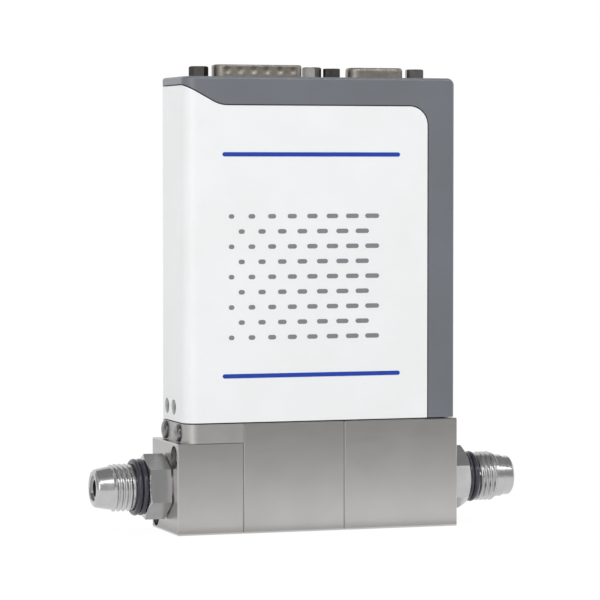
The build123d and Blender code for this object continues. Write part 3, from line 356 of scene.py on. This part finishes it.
chip_epoxy = moulded("chip_epoxy", "#1B1B1C", "#242425", 0.5)
drawn_aluminium = plain_plated("drawn_aluminium", "#C6C8CA", "#D6D8D9", 0.24, 0.36)
tape = coil_wrap()
zinc_plate = plain_plated("zinc_plated_steel", "#9FA1A3", "#B1B3B5", 0.28, 0.42)
soft_nickel = plain_plated("annealed_nickel", "#B3AEA4", "#C2BDB3", 0.3, 0.42)

NODE_FINISHES = {
    blocks: ["inlet_block", "center_block", "outlet_block", "sensor_base"],
    inner_steel: ["flow_splitter", "sensor_tube", "valve_orifice", "valve_body"],
    bracket_steel: ["cover_bracket"],
    screw_steel: [
        "outlet_block_screws",
        "frame_screws",
        "bracket_foot_screws",
        "board_standoffs",
        "board_screws",
        "sensor_screws",
        "valve_screws",
        "coil_nut",
    ],
    grey_paint: ["housing_frame"],
    white_paint: ["cover"],
    blue_ink: ["blue_rules"],
    grey_ink: ["dash_field"],
    shell_tin: ["plug_shell", "socket_shell"],
    insulator_plastic: ["plug_insulator", "socket_insulator"],
    contact_gold: ["socket_contacts"],
    board_mask: ["connector_board", "main_board"],
    chip_epoxy: ["board_header", "processor", "driver_chips"],
    drawn_aluminium: ["capacitors", "sensor_cover"],
    tape: ["sensor_windings", "solenoid_coil"],
    zinc_plate: ["board_bracket", "valve_plunger", "valve_core", "coil_yoke"],
    soft_nickel: [
        "inlet_seam_seal",
        "outlet_seam_seal",
        "inlet_gasket",
        "outlet_gasket",
        "inlet_screen",
        "sensor_seals",
        "valve_seal",
    ],
}
for finish, names in NODE_FINISHES.items():
    for name in names:
        node_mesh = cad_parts[name].data
        node_mesh.materials.clear()
        node_mesh.materials.append(finish)


# ---- Turned pieces: rows of points round one axis ----
SIDES = 6
AROUND = 144
FLOW_Z = 12.7
BORE = 2.3


def ring(distance, radius):
    """One row of points round the X axis; radius may depend on the angle."""
    row = []
    for step in range(AROUND + 1):
        angle = FULL_TURN * step / AROUND
        r = radius(angle) if callable(radius) else radius
        row.append(Vector((distance, r * math.cos(angle), r * math.sin(angle))) * MM)
    return row


def hexagon_radius(flats):
    """The radius of a hexagon's outline at each angle, with corners at the top and bottom."""
    sector = FULL_TURN / SIDES

    def at(angle):
        return flats / 2 / math.cos((angle + sector / 2) % sector - sector / 2)

    return at


def hexagon_rows(start, length, flats, bevel, bevel_steps=6):
    """Rows of a hexagonal bar, its outer end turned down to a shallow cone."""
    outline = hexagon_radius(flats)
    slope = (flats / 2 / math.cos(FULL_TURN / SIDES / 2) - flats / 2) / bevel
    rows = [ring(start, outline)]
    for i in range(bevel_steps, -1, -1):
        offset = bevel * i / bevel_steps
        limit = flats / 2 + offset * slope

        def cut(angle, limit=limit):
            return min(outline(angle), limit)

        rows.append(ring(start + length - offset, cut))
    return rows


def rounded(distance, radius, rounding, steps=6):
    """Rows that round a rim off, from the side at radius to the face at distance."""
    rows = []
    for i in range(steps + 1):
        a = FULL_TURN / 4 * i / steps
        rows.append(
            ring(
                distance - rounding * (1 - math.sin(a)),
                radius - rounding * (1 - math.cos(a)),
            )
        )
    return rows


# ---- Face-seal fittings: hexagon, O-ring land, thread and nose, turned in one piece ----
END_X = 41.3
HEXAGON_FLATS = 15.875
STUB_RADIUS, STUB_DEPTH, NECK_RADIUS = 5.95, 8.0, 7.4
RECESS_RADIUS, RECESS_DEPTH, RECESS_BEVEL = 3.6, 0.7, 0.25
THREAD_PITCH = 25.4 / 18
THREAD_DEPTH = 0.62
THREAD_SECTION = (
    (0.0, 1.0),
    (0.05, 0.96),
    (0.10, 0.84),
    (0.36, 0.06),
    (0.42, 0.0),
    (0.50, 0.0),
    (0.56, 0.06),
    (0.82, 0.84),
    (0.87, 0.96),
    (0.92, 1.0),
)


def thread_rows(start, length, crest):
    """Rows that run along one helical thread, clamped and faded out at both ends."""
    rows = []
    end = start + length
    fade = THREAD_PITCH / 2
    for turn in range(-2, math.ceil(length / THREAD_PITCH) + 2):
        for phase, height in THREAD_SECTION:
            row = []
            for step in range(AROUND + 1):
                part = step / AROUND
                x = start + (turn + phase + part) * THREAD_PITCH
                x = min(max(x, start), end)
                near_end = min(1.0, (x - start) / fade, (end - x) / fade)
                r = crest - THREAD_DEPTH * (1 - height * near_end)
                angle = FULL_TURN * part
                row.append(Vector((x, r * math.cos(angle), r * math.sin(angle))) * MM)
            rows.append(row)
    return rows


def face_seal_fitting(name, outward, neck_length, hexagon, land, thread, nose):
    """A fitting from its stub in the block's socket out to its nose; outward is -1 at the inlet."""
    flats, hex_length, bevel, hex_turn = hexagon
    land_radius, land_length = land
    crest, thread_length = thread
    step_radius, step_length, nose_radius, tip_radius, nose_length, rounding = nose
    land_start = neck_length + hex_length
    thread_start = land_start + land_length
    step_start = thread_start + thread_length
    nose_start = step_start + step_length
    reach = nose_start + nose_length

    def build(bm):
        rows = [ring(-STUB_DEPTH, BORE), ring(-STUB_DEPTH, STUB_RADIUS), ring(0, STUB_RADIUS)]
        rows += [ring(0, NECK_RADIUS), ring(neck_length, NECK_RADIUS)]
        rows += hexagon_rows(neck_length, hex_length, flats, bevel)
        rows += [ring(land_start, land_radius), ring(thread_start, land_radius)]
        rows += thread_rows(thread_start, thread_length, crest)
        rows += [ring(step_start, step_radius), ring(nose_start, step_radius)]
        rows += [ring(nose_start, nose_radius)]
        rows += rounded(reach, tip_radius, rounding)
        rows += [ring(reach, RECESS_RADIUS + RECESS_BEVEL), ring(reach - RECESS_BEVEL, RECESS_RADIUS)]
        rows += [ring(reach - RECESS_DEPTH, RECESS_RADIUS), ring(reach - RECESS_DEPTH, BORE)]
        skin(bm, rows, closed_rows=True)

    piece = mesh_of(name, build)
    face_out = Matrix.Rotation(0 if outward > 0 else math.pi, 4, "Z")
    clock = Matrix.Rotation(math.radians(hex_turn * outward), 4, "X")
    return put(piece, Matrix.Translation(Vector((outward * END_X, 0, FLOW_Z)) * MM) @ clock @ face_out)


inlet = face_seal_fitting(
    "inlet_fitting_turned",
    -1,
    neck_length=0.35,
    hexagon=(HEXAGON_FLATS, 6.2, 0.6, 6.0),
    land=(6.25, 3.4),
    thread=(6.62, 6.35),
    nose=(6.02, 0.0, 6.02, 5.4, 4.6, 1.15),
)
stand_for(inlet, "fitting_steel", "housing", fitting_steel, "inlet_fitting")
outlet = face_seal_fitting(
    "outlet_fitting_turned",
    1,
    neck_length=0.6,
    hexagon=(HEXAGON_FLATS, 5.6, 0.6, 5.0),
    land=(5.56, 3.3),
    thread=(7.02, 6.1),
    nose=(6.02, 2.2, 5.6, 5.6, 2.9, 0.7),
)
stand_for(outlet, "fitting_steel", "housing", fitting_steel, "outlet_fitting")


def o_ring(name, node, radius, section):
    """A moulded ring round the flow's axis, where its node is, with a fine mould line outside."""
    low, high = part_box(node)
    middle = (low.x + high.x) / 2 / MM
    around_section = 32
    line = 0.025

    def build(bm):
        rows = []
        for i in range(around_section):
            a = FULL_TURN * i / around_section
            proud = line if i == 0 else 0
            r = radius + (section + proud) * math.cos(a)
            rows.append(ring(middle + section * math.sin(a), r))
        skin(bm, rows, closed_rows=True)

    piece = mesh_of(name, build, angle=FULL_TURN / 2)
    put(piece, Matrix.Translation((0, 0, FLOW_Z * MM)))
    stand_for(piece, "ring_rubber", "housing", rubber, node)


for side, radius, section in (("inlet", 7.1, 0.8), ("outlet", 6.42, 0.81)):
    for place in ("inner", "outer"):
        o_ring(f"{side}_{place}_moulded_ring", f"{side}_{place}_o_ring", radius, section)


# ---- Valve spring: in the valve it shortens as the plunger lifts against it; here its node's mesh is copied as it is ----
spring = bpy.data.objects.new("plunger_return_spring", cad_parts["valve_spring"].data.copy())
bpy.context.scene.collection.objects.link(spring)
stand_for(spring, "screw_steel", "housing", screw_steel, "valve_spring")
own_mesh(spring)


# ---- Repeated pieces: one unit made once, then set out in a row by Geometry Nodes ----
def row_placer():
    """The node tree that sets a unit out in a row, turns each copy on its own axis and joins them."""
    tree = bpy.data.node_groups.new("row_of_copies", "GeometryNodeTree")
    for name, kind in (
        ("Row", "NodeSocketGeometry"),
        ("Unit", "NodeSocketObject"),
        ("Count", "NodeSocketInt"),
        ("First Place", "NodeSocketVector"),
        ("Last Place", "NodeSocketVector"),
        ("Facing", "NodeSocketVector"),
        ("First Turn", "NodeSocketFloat"),
        ("Turn Step", "NodeSocketFloat"),
        ("Finish", "NodeSocketMaterial"),
    ):
        tree.interface.new_socket(name, in_out="INPUT", socket_type=kind)
    tree.interface.new_socket("Copies", in_out="OUTPUT", socket_type="NodeSocketGeometry")
    given = tree.nodes.new("NodeGroupInput").outputs
    line = add(
        tree,
        "GeometryNodeMeshLine",
        {"Count": given["Count"], "Start Location": given["First Place"], "Offset": given["Last Place"]},
        mode="END_POINTS",
    )
    unit = add(tree, "GeometryNodeObjectInfo", {"Object": given["Unit"]})
    placed = add(
        tree,
        "GeometryNodeInstanceOnPoints",
        {
            "Points": line.outputs["Mesh"],
            "Instance": unit.outputs["Geometry"],
            "Rotation": given["Facing"],
        },
    )
    step = add(
        tree,
        "ShaderNodeMath",
        {0: tree.nodes.new("GeometryNodeInputIndex").outputs[0], 1: given["Turn Step"]},
        operation="MULTIPLY",
    )
    angle = add(tree, "ShaderNodeMath", {0: step.outputs[0], 1: given["First Turn"]}, operation="ADD")
    own_axis = add(tree, "ShaderNodeCombineXYZ", {"X": angle.outputs[0]})
    turned = add(
        tree,
        "GeometryNodeRotateInstances",
        {"Instances": placed.outputs["Instances"], "Rotation": own_axis.outputs[0], "Local Space": True},
    )
    real = add(tree, "GeometryNodeRealizeInstances", {"Geometry": turned.outputs["Instances"]})
    dressed = add(
        tree,
        "GeometryNodeSetMaterial",
        {"Geometry": real.outputs["Geometry"], "Material": given["Finish"]},
    )
    end = tree.nodes.new("NodeGroupOutput")
    tree.links.new(dressed.outputs["Geometry"], end.inputs["Copies"])
    return tree


PLACER = row_placer()
TO_INLET = (0.0, 0.0, math.pi)
UP = (0.0, -math.pi / 2, 0.0)


def row_of(name, unit, first, last, facing, finish, count=2, turn=0.0, turn_step=0.0):
    """A plain mesh of copies of a unit between two places in mm; turns are in degrees."""
    base = bpy.data.meshes.new(name)
    piece = bpy.data.objects.new(name, base)
    bpy.context.scene.collection.objects.link(piece)
    modifier = piece.modifiers.new("row_of_copies", "NODES")
    modifier.node_group = PLACER
    values = {
        "Unit": unit,
        "Count": count,
        "First Place": Vector(first) * MM,
        "Last Place": Vector(last) * MM,
        "Facing": facing,
        "First Turn": math.radians(turn),
        "Turn Step": math.radians(turn_step),
        "Finish": finish,
    }
    for socket in PLACER.interface.items_tree:
        if socket.name in values:
            modifier[socket.identifier] = values[socket.name]
    flattened(piece)
    return piece


def flattened(piece):
    """Replaces a piece's mesh by what its modifiers make of it, and removes them."""
    view = bpy.context.evaluated_depsgraph_get()
    made = bpy.data.meshes.new_from_object(piece.evaluated_get(view))
    piece.modifiers.clear()
    piece.data = made


def hollowed(piece, cutter):
    """Cuts a cutter's shape out of a piece and drops the cutter."""
    modifier = piece.modifiers.new("hollow", "BOOLEAN")
    modifier.operation = "DIFFERENCE"
    modifier.solver = "EXACT"
    modifier.object = cutter
    flattened(piece)
    bpy.data.objects.remove(cutter)
    piece.data.shade_smooth()
    piece.data.set_sharp_from_angle(angle=SMOOTH_UNDER)


def cross_cutter(height, width, reach, depth):
    """A tapered cross, standing out from below a head's top, that leaves a cross recess."""
    top, bottom = height + depth, height - depth

    def build(bm):
        for along, across in (((0, 1, 0), (0, 0, 1)), ((0, 0, 1), (0, -1, 0))):
            along, across = Vector(along), Vector(across)
            rows = []
            for level, share, thick in ((bottom, 0.3, 0.8), (height, 1.0, 1.0), (top, 1.7, 1.2)):
                corners = [
                    Vector((level, 0, 0)) + along * reach * share * a + across * width / 2 * thick * b
                    for a, b in ((-1, -1), (1, -1), (1, 1), (-1, 1), (-1, -1))
                ]
                rows.append([corner * MM for corner in corners])
            skin(bm, rows)
            for row in (rows[0], rows[-1]):
                bm.faces.new([bm.verts.new(point) for point in row[:-1]])

    return build


def cross_screw(name, head_radius, head_height, shank_radius, length, slot_width, slot_reach):
    """A pan-head screw with a cross recess, its head's seat at the origin and its axis along X."""
    shoulder = head_height * 0.55
    top_radius = head_radius * 0.97

    def build(bm):
        rows = [ring(-length, 0), ring(-length, shank_radius), ring(0, shank_radius)]
        rows += [ring(0, head_radius * 0.97), ring(0.1, head_radius), ring(shoulder * 0.8, head_radius)]
        for i in range(13):
            a = FULL_TURN / 4 * i / 12
            rows.append(
                ring(
                    shoulder * 0.85 + (head_height - shoulder * 0.85) * math.sin(a),
                    top_radius * math.cos(a),
                )
            )
        skin(bm, rows)

    screw = mesh_of(name, build)
    recess = cross_cutter(head_height, slot_width, slot_reach, 0.5 * head_height)
    hollowed(screw, mesh_of(name + "_recess", recess))
    return screw


def cap_screw(name, head_radius, head_height, shank_radius, length, socket):
    """A cap screw with a hexagonal socket and rounded head rim, standing on its seat."""
    mouth = socket * 0.62

    def build(bm):
        rows = [ring(-length, 0), ring(-length, shank_radius), ring(0, shank_radius)]
        rows += [ring(0, head_radius - 0.1), ring(0.1, head_radius)]
        rows += rounded(head_height, head_radius, 0.35)
        rows += [ring(head_height, mouth)]
        rows += [ring(head_height - 0.15, hexagon_radius(socket))]
        rows += [ring(head_height / 2, hexagon_radius(socket)), ring(head_height / 2 - 0.4, 0)]
        skin(bm, rows)

    return mesh_of(name, build)


def hexagon_post(name, flats, height, bevel, shank_length):
    """A tapped hexagonal post on the case's top, with its shank below."""
    bore, countersink, depth = 1.15, 0.25, 4.5

    def build(bm):
        rows = [ring(-shank_length, 0), ring(-shank_length, 1.4), ring(0, 1.4)]
        rows += hexagon_rows(0, height, flats, bevel)
        rows += [ring(height, bore + countersink), ring(height - countersink, bore)]
        rows += [ring(height - depth, bore), ring(height - depth, 0)]
        skin(bm, rows)

    return mesh_of(name, build, angle=math.radians(20))


def contact_pin(name, radius, length):
    """A straight contact pin with a rounded tip, from its foot along X."""

    def build(bm):
        rows = [ring(0, 0), ring(0, radius)] + rounded(length, radius, radius * 0.8) + [ring(length, 0)]
        skin(bm, rows)

    return mesh_of(name, build)


def joined(name, pieces):
    """One object from several, its mesh theirs together."""
    bm = bmesh.new()
    for part in pieces:
        bm.from_mesh(part.data)
        bpy.data.objects.remove(part)
    for face in bm.faces:
        face.material_index = 0
    mesh = bpy.data.meshes.new(name)
    bm.to_mesh(mesh)
    bm.free()
    piece = bpy.data.objects.new(name, mesh)
    bpy.context.scene.collection.objects.link(piece)
    return piece


CASE_LEFT = -39.1
CASE_TOP = 126.8
STEP_Z = 25.4
BLOCK_TOP = 30.7
BRACKET_SCREW_Z = STEP_Z + (BLOCK_TOP - STEP_Z) / 2
COVER_SCREW_Z = 34.85
COVER_SCREW_SEAT = 0.9
COUNTERBORE_DEPTH = 4.2

pan_unit = cross_screw("pan_screw_unit", 2.5, 1.15, 1.4, 20.95, 0.85, 1.6)
bracket_screws = row_of(
    "bracket_pan_screws",
    pan_unit,
    (CASE_LEFT, -6.3, BRACKET_SCREW_Z),
    (CASE_LEFT, 6.3, BRACKET_SCREW_Z),
    TO_INLET,
    screw_steel,
    turn=20,
    turn_step=25,
)
stand_for(bracket_screws, "screw_steel", "housing", None, "bracket_screws")
bpy.data.objects.remove(pan_unit)

cover_unit = cross_screw("cover_screw_unit", 1.9, 0.9, 1.1, 2.4, 0.8, 1.3)
cover_screws = row_of(
    "cover_pan_screws",
    cover_unit,
    (CASE_LEFT + COVER_SCREW_SEAT, -1.4, COVER_SCREW_Z),
    (CASE_LEFT + COVER_SCREW_SEAT, 5.3, COVER_SCREW_Z),
    TO_INLET,
    screw_steel,
    turn=10,
    turn_step=30,
)
stand_for(cover_screws, "screw_steel", "housing", None, "cover_screws")
bpy.data.objects.remove(cover_unit)

cap_unit = cap_screw("cap_screw_unit", 2.75, 3.0, 1.5, 21.95, 2.5)
block_screws = row_of(
    "inlet_cap_screws",
    cap_unit,
    (-END_X + COUNTERBORE_DEPTH, 9.15, 3.9),
    (-END_X + COUNTERBORE_DEPTH, -9.15, 21.5),
    TO_INLET,
    screw_steel,
    turn=12,
    turn_step=15,
)
stand_for(block_screws, "screw_steel", "housing", None, "inlet_block_screws")
bpy.data.objects.remove(cap_unit)

PLUG_X, SOCKET_X = -14.67, 20.39

PIN_FOOT, PIN_LENGTH, PIN_RADIUS = 116.1, 13.44, 0.5
PIN_PITCH, PIN_ROW_GAP = 2.77, 2.84
pin_unit = contact_pin("contact_pin_unit", PIN_RADIUS, PIN_LENGTH)
pin_rows = []
for row_name, row_y, count in (("front_pins", -PIN_ROW_GAP / 2, 8), ("back_pins", PIN_ROW_GAP / 2, 7)):
    reach = PIN_PITCH * (count - 1) / 2
    pin_rows.append(
        row_of(
            row_name,
            pin_unit,
            (PLUG_X - reach, row_y, PIN_FOOT),
            (PLUG_X + reach, row_y, PIN_FOOT),
            UP,
            contact_gold,
            count=count,
        )
    )
plug_pins = joined("plug_contact_pins", pin_rows)
stand_for(plug_pins, "contact_gold", "housing", contact_gold, "plug_pins")
bpy.data.objects.remove(pin_unit)

TOP_INSIDE = 124.5


def rounded_outline(corners, rounding, arc_steps=10, side_steps=96):
    """Points round a closed polygon whose corners are rounded, as many on each side."""
    points = []
    count = len(corners)
    for i in range(count):
        before, corner, after = (Vector(corners[(i + k) % count]) for k in (-1, 0, 1))
        back, onward = (before - corner).normalized(), (after - corner).normalized()
        half = back.angle(onward) / 2
        middle = corner + (back + onward).normalized() * rounding / math.sin(half)
        reach = rounding / math.tan(half)
        start, end = corner + back * reach - middle, corner + onward * reach - middle
        for k in range(arc_steps + 1):
            points.append(middle + start.lerp(end, k / arc_steps).normalized() * rounding)
    sides = []
    per_corner = arc_steps + 1
    for i in range(count):
        arc = points[i * per_corner : (i + 1) * per_corner]
        following = points[((i + 1) * per_corner) % len(points)]
        sides += arc + [arc[-1].lerp(following, k / side_steps) for k in range(1, side_steps)]
    return sides + sides[:1]


def d_outline(middle, width, depth, growth):
    """A D-sub shell's outline, its long side towards the front; growth moves it out or in."""
    corner, lean = 2.6 + growth, math.radians(80)
    wide, deep = width + 2 * growth, depth + 2 * growth
    long_half = wide / 2 + corner * (1 / math.tan(lean / 2) - 1)
    short_half = long_half - deep / math.tan(lean)
    corners = [
        (middle - long_half, -deep / 2),
        (middle + long_half, -deep / 2),
        (middle + short_half, deep / 2),
        (middle - short_half, deep / 2),
    ]
    return rounded_outline(corners, corner)


def pressed_shell(name, node, middle, width, depth, height, rim, dimples):
    """A D-sub shell: the flange from its node, and a drawn wall whose rim turns in, with dimples."""
    top, seam = TOP_INSIDE + height, TOP_INSIDE + 0.5
    wall, (roll, lip) = 0.4, rim
    dimple_radius, dimple_depth, dimple_z = 1.3, 0.25, top - 1.6
    levels = [seam + (top - roll - seam) * i / 24 for i in range(25)]
    profile = [(z, 0.0) for z in levels]
    for i in range(1, 9):
        a = FULL_TURN / 4 * i / 8
        profile.append((top - roll * (1 - math.sin(a)), -lip * (1 - math.cos(a))))
    profile += [(top - 0.06, -lip - 0.18), (top - 0.3, -lip - 0.22), (top - roll, -wall - 0.05)]
    profile += [(z, -wall) for z in reversed(levels)]

    def dented(x, y, z):
        """A wall point pressed in where a dimple is."""
        for centre in dimples:
            away = math.hypot(x - middle - centre, z - dimple_z) / dimple_radius
            if away < 1:
                y -= math.copysign(dimple_depth * (1 - away**2) ** 2, y)
        return Vector((x, y, z)) * MM

    def build(bm):
        rows = []
        for z, growth in profile:
            rows.append([dented(x, y, z) for x, y in d_outline(middle, width, depth, growth)])
        skin(bm, rows)

    walls = mesh_of(name, build)
    bm = bmesh.new()
    bm.from_mesh(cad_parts[node].data)
    bmesh.ops.bisect_plane(
        bm,
        geom=bm.verts[:] + bm.edges[:] + bm.faces[:],
        plane_co=(0, 0, (seam + 0.02) * MM),
        plane_no=(0, 0, 1),
        clear_outer=True,
    )
    bm.from_mesh(walls.data)
    bm.to_mesh(walls.data)
    bm.free()
    walls.data.shade_smooth()
    walls.data.set_sharp_from_angle(angle=math.radians(50))
    return walls


DIMPLE_PITCH, DIMPLES = 3.85, 6
plug_dimples = [DIMPLE_PITCH * (place - (DIMPLES - 1) / 2) for place in range(DIMPLES)]
plug_shell = pressed_shell(
    "plug_pressed_shell", "plug_shell", PLUG_X, 25.7, 9.0, 5.84, (0.55, 0.35), plug_dimples
)
stand_for(plug_shell, "shell_steel", "housing", shell_tin, "plug_shell")
socket_shell = pressed_shell(
    "socket_pressed_shell", "socket_shell", SOCKET_X, 16.33, 7.9, 5.3, (1.0, 0.55), []
)
stand_for(socket_shell, "shell_steel", "housing", shell_tin, "socket_shell")

for kind, middle, spacing, height, turn, turn_step in (
    ("plug", PLUG_X, 33.32, 3.05, -13.0, -17.0),
    ("socket", SOCKET_X, 24.99, 2.75, 11.5, 8.0),
):
    post_unit = hexagon_post(kind + "_post_unit", 4.76, height, 0.3, 5.3)
    posts = row_of(
        kind + "_hexagon_posts",
        post_unit,
        (middle - spacing / 2, 0, CASE_TOP),
        (middle + spacing / 2, 0, CASE_TOP),
        UP,
        post_nickel,
        turn=turn,
        turn_step=turn_step,
    )
    stand_for(posts, "post_steel", "housing", None, kind + "_jackposts")
    bpy.data.objects.remove(post_unit)


# ---- Studio: floor, lamps and camera ----
WHITE = (1, 1, 1, 1)
PAPER = (0.9, 0.9, 0.9, 1)
PAPER_GLOW = 1.02
PAPER_SHADOW = 0.05
FLOOR_REACH = 6.0
FILL = 0.78
MIDDLE = Vector((0.0, 0.0, 0.06))


def seen_directly(tree):
    """1 for rays from the camera, off shiny metal or through glass, and 0 for the rest."""
    ray = add(tree, "ShaderNodeLightPath")
    seen = ray.outputs["Is Camera Ray"]
    for kind in ("Is Glossy Ray", "Is Transmission Ray"):
        both = add(
            tree, "ShaderNodeMath", {0: seen, 1: ray.outputs[kind]}, operation="ADD", use_clamp=True
        )
        seen = both.outputs[0]
    return seen


def studio_white(name, shadow_share):
    """Pale paper that the camera and shiny metal see as white, and that still takes a shadow."""
    finish = bpy.data.materials.new(name)
    finish.use_nodes = True
    tree = finish.node_tree
    tree.nodes.clear()
    share = add(
        tree, "ShaderNodeMath", {0: seen_directly(tree), 1: 1 - shadow_share}, operation="MULTIPLY"
    )
    paper = add(tree, "ShaderNodeBsdfDiffuse", {"Color": PAPER})
    glow = add(tree, "ShaderNodeEmission", {"Color": WHITE, "Strength": PAPER_GLOW})
    mix = add(tree, "ShaderNodeMixShader", {0: share.outputs[0], 1: paper.outputs[0], 2: glow.outputs[0]})
    out = add(tree, "ShaderNodeOutputMaterial")
    tree.links.new(mix.outputs[0], out.inputs["Surface"])
    return finish


def sheet(name, corners, finish):
    """A flat stage sheet from its corners, in metres."""
    mesh = bpy.data.meshes.new(name)
    mesh.from_pydata(corners, [], [tuple(range(len(corners)))])
    mesh.materials.append(finish)
    piece = bpy.data.objects.new(name, mesh)
    bpy.context.scene.collection.objects.link(piece)
    return piece


sheet(
    "floor",
    [
        (-FLOOR_REACH, -FLOOR_REACH, 0),
        (FLOOR_REACH, -FLOOR_REACH, 0),
        (FLOOR_REACH, FLOOR_REACH, 0),
        (-FLOOR_REACH, FLOOR_REACH, 0),
    ],
    studio_white("pale_floor_paper", PAPER_SHADOW),
)

world = bpy.data.worlds.new("studio_surround")
bpy.context.scene.world = world
world.use_nodes = True
surround = world.node_tree
surround.nodes.clear()
strength = add(surround, "ShaderNodeMapRange", {0: seen_directly(surround), 3: FILL, 4: 1.0})
white = add(surround, "ShaderNodeBackground", {"Color": WHITE, "Strength": strength.outputs[0]})
out = add(surround, "ShaderNodeOutputWorld")
surround.links.new(white.outputs[0], out.inputs["Surface"])


def round_object(azimuth, elevation, distance):
    """A place round the object: azimuth 0 is in front, and positive ones are to the right."""
    a, e = math.radians(azimuth), math.radians(elevation)
    return MIDDLE + distance * Vector(
        (math.sin(a) * math.cos(e), -math.cos(a) * math.cos(e), math.sin(e))
    )


def face_object(piece, place):
    """Puts a lamp at a place, turned to the object."""
    piece.location = place
    piece.rotation_euler = (place - MIDDLE).to_track_quat("Z", "Y").to_euler()


def softbox(name, azimuth, elevation, distance, size, power):
    """A rectangular lamp turned to the object."""
    lamp = bpy.data.lights.new(name, "AREA")
    lamp.shape = "RECTANGLE"
    lamp.size, lamp.size_y = size
    lamp.energy = power
    piece = bpy.data.objects.new(name, lamp)
    face_object(piece, round_object(azimuth, elevation, distance))
    bpy.context.scene.collection.objects.link(piece)


def shine_only(name, corners, grey):
    """A grey studio card that only shiny surfaces see, so that bright metal has something to show."""
    finish = bpy.data.materials.new(name)
    finish.use_nodes = True
    tree = finish.node_tree
    tree.nodes.clear()
    glow = add(tree, "ShaderNodeEmission", {"Color": (grey, grey, grey, 1), "Strength": 1.0})
    out = add(tree, "ShaderNodeOutputMaterial")
    tree.links.new(glow.outputs[0], out.inputs["Surface"])
    piece = sheet(name, corners, finish)
    piece.visible_camera = False
    piece.visible_diffuse = False
    piece.visible_shadow = False
    piece.visible_transmission = False
    piece.visible_volume_scatter = False


def card(name, azimuth, elevation, distance, size, grey):
    """A card that faces the object from a place round it."""
    half_width, half_height = size[0] / 2, size[1] / 2
    spot = round_object(azimuth, elevation, distance)
    turn = (spot - MIDDLE).to_track_quat("Z", "Y").to_matrix().to_4x4()
    place = Matrix.Translation(spot) @ turn
    corners = [
        place @ Vector((x * half_width, y * half_height, 0))
        for x, y in ((-1, -1), (1, -1), (1, 1), (-1, 1))
    ]
    shine_only(name, corners, grey)


def floor_card(name, front, back, half_width, height, grey):
    """A card lying on the floor, from its front edge to its back edge along Y."""
    corners = ((-half_width, front), (half_width, front), (half_width, back), (-half_width, back))
    shine_only(name, [(x, y, height) for x, y in corners], grey)


softbox("front_left_softbox", -40, 8, 1.1, (0.18, 1.1), 2.1)
softbox("front_right_softbox", 10, 40, 1.1, (0.9, 0.1), 1.6)
card("front_card", 20, 18, 1.3, (1.4, 0.88), 0.36)
card("left_card", -105, 5, 1.2, (1.6, 1.2), 0.4)
card("ceiling_card", 10, 88, 1.0, (2.4, 2.2), 0.3)
card("strip_card", 10, 40, 1.09, (0.9, 0.05), 14.0)
floor_card("front_floor_card", -1.3, -0.13, 1.0, 0.002, 0.14)
floor_card("back_floor_card", 0.15, 1.3, 1.0, 0.002, 0.78)
# painted shadow: a grey card under the case that shiny surfaces see in place of the glowing floor,
# darkening the undersides of the fittings and hexagons
floor_card("shade_card", -0.02, 0.06, 0.049, 0.0005, 0.6)

AZIMUTH, ELEVATION = math.radians(18.54), math.radians(2.391)
CAMERA_PLACE = (-0.286809, -0.85078, 0.10169)
SENSOR_WIDTH, LENS = 36.0, 190.57
camera_data = bpy.data.cameras.new("camera")
camera_data.sensor_width = SENSOR_WIDTH
camera_data.lens = LENS
camera = bpy.data.objects.new("camera", camera_data)
camera.location = CAMERA_PLACE
back = Vector(
    (
        -math.sin(AZIMUTH) * math.cos(ELEVATION),
        -math.cos(AZIMUTH) * math.cos(ELEVATION),
        math.sin(ELEVATION),
    )
)
camera.rotation_euler = back.to_track_quat("Z", "Y").to_euler()
bpy.context.scene.collection.objects.link(camera)
bpy.context.scene.camera = camera
bpy.context.scene.view_settings.view_transform = "Standard"
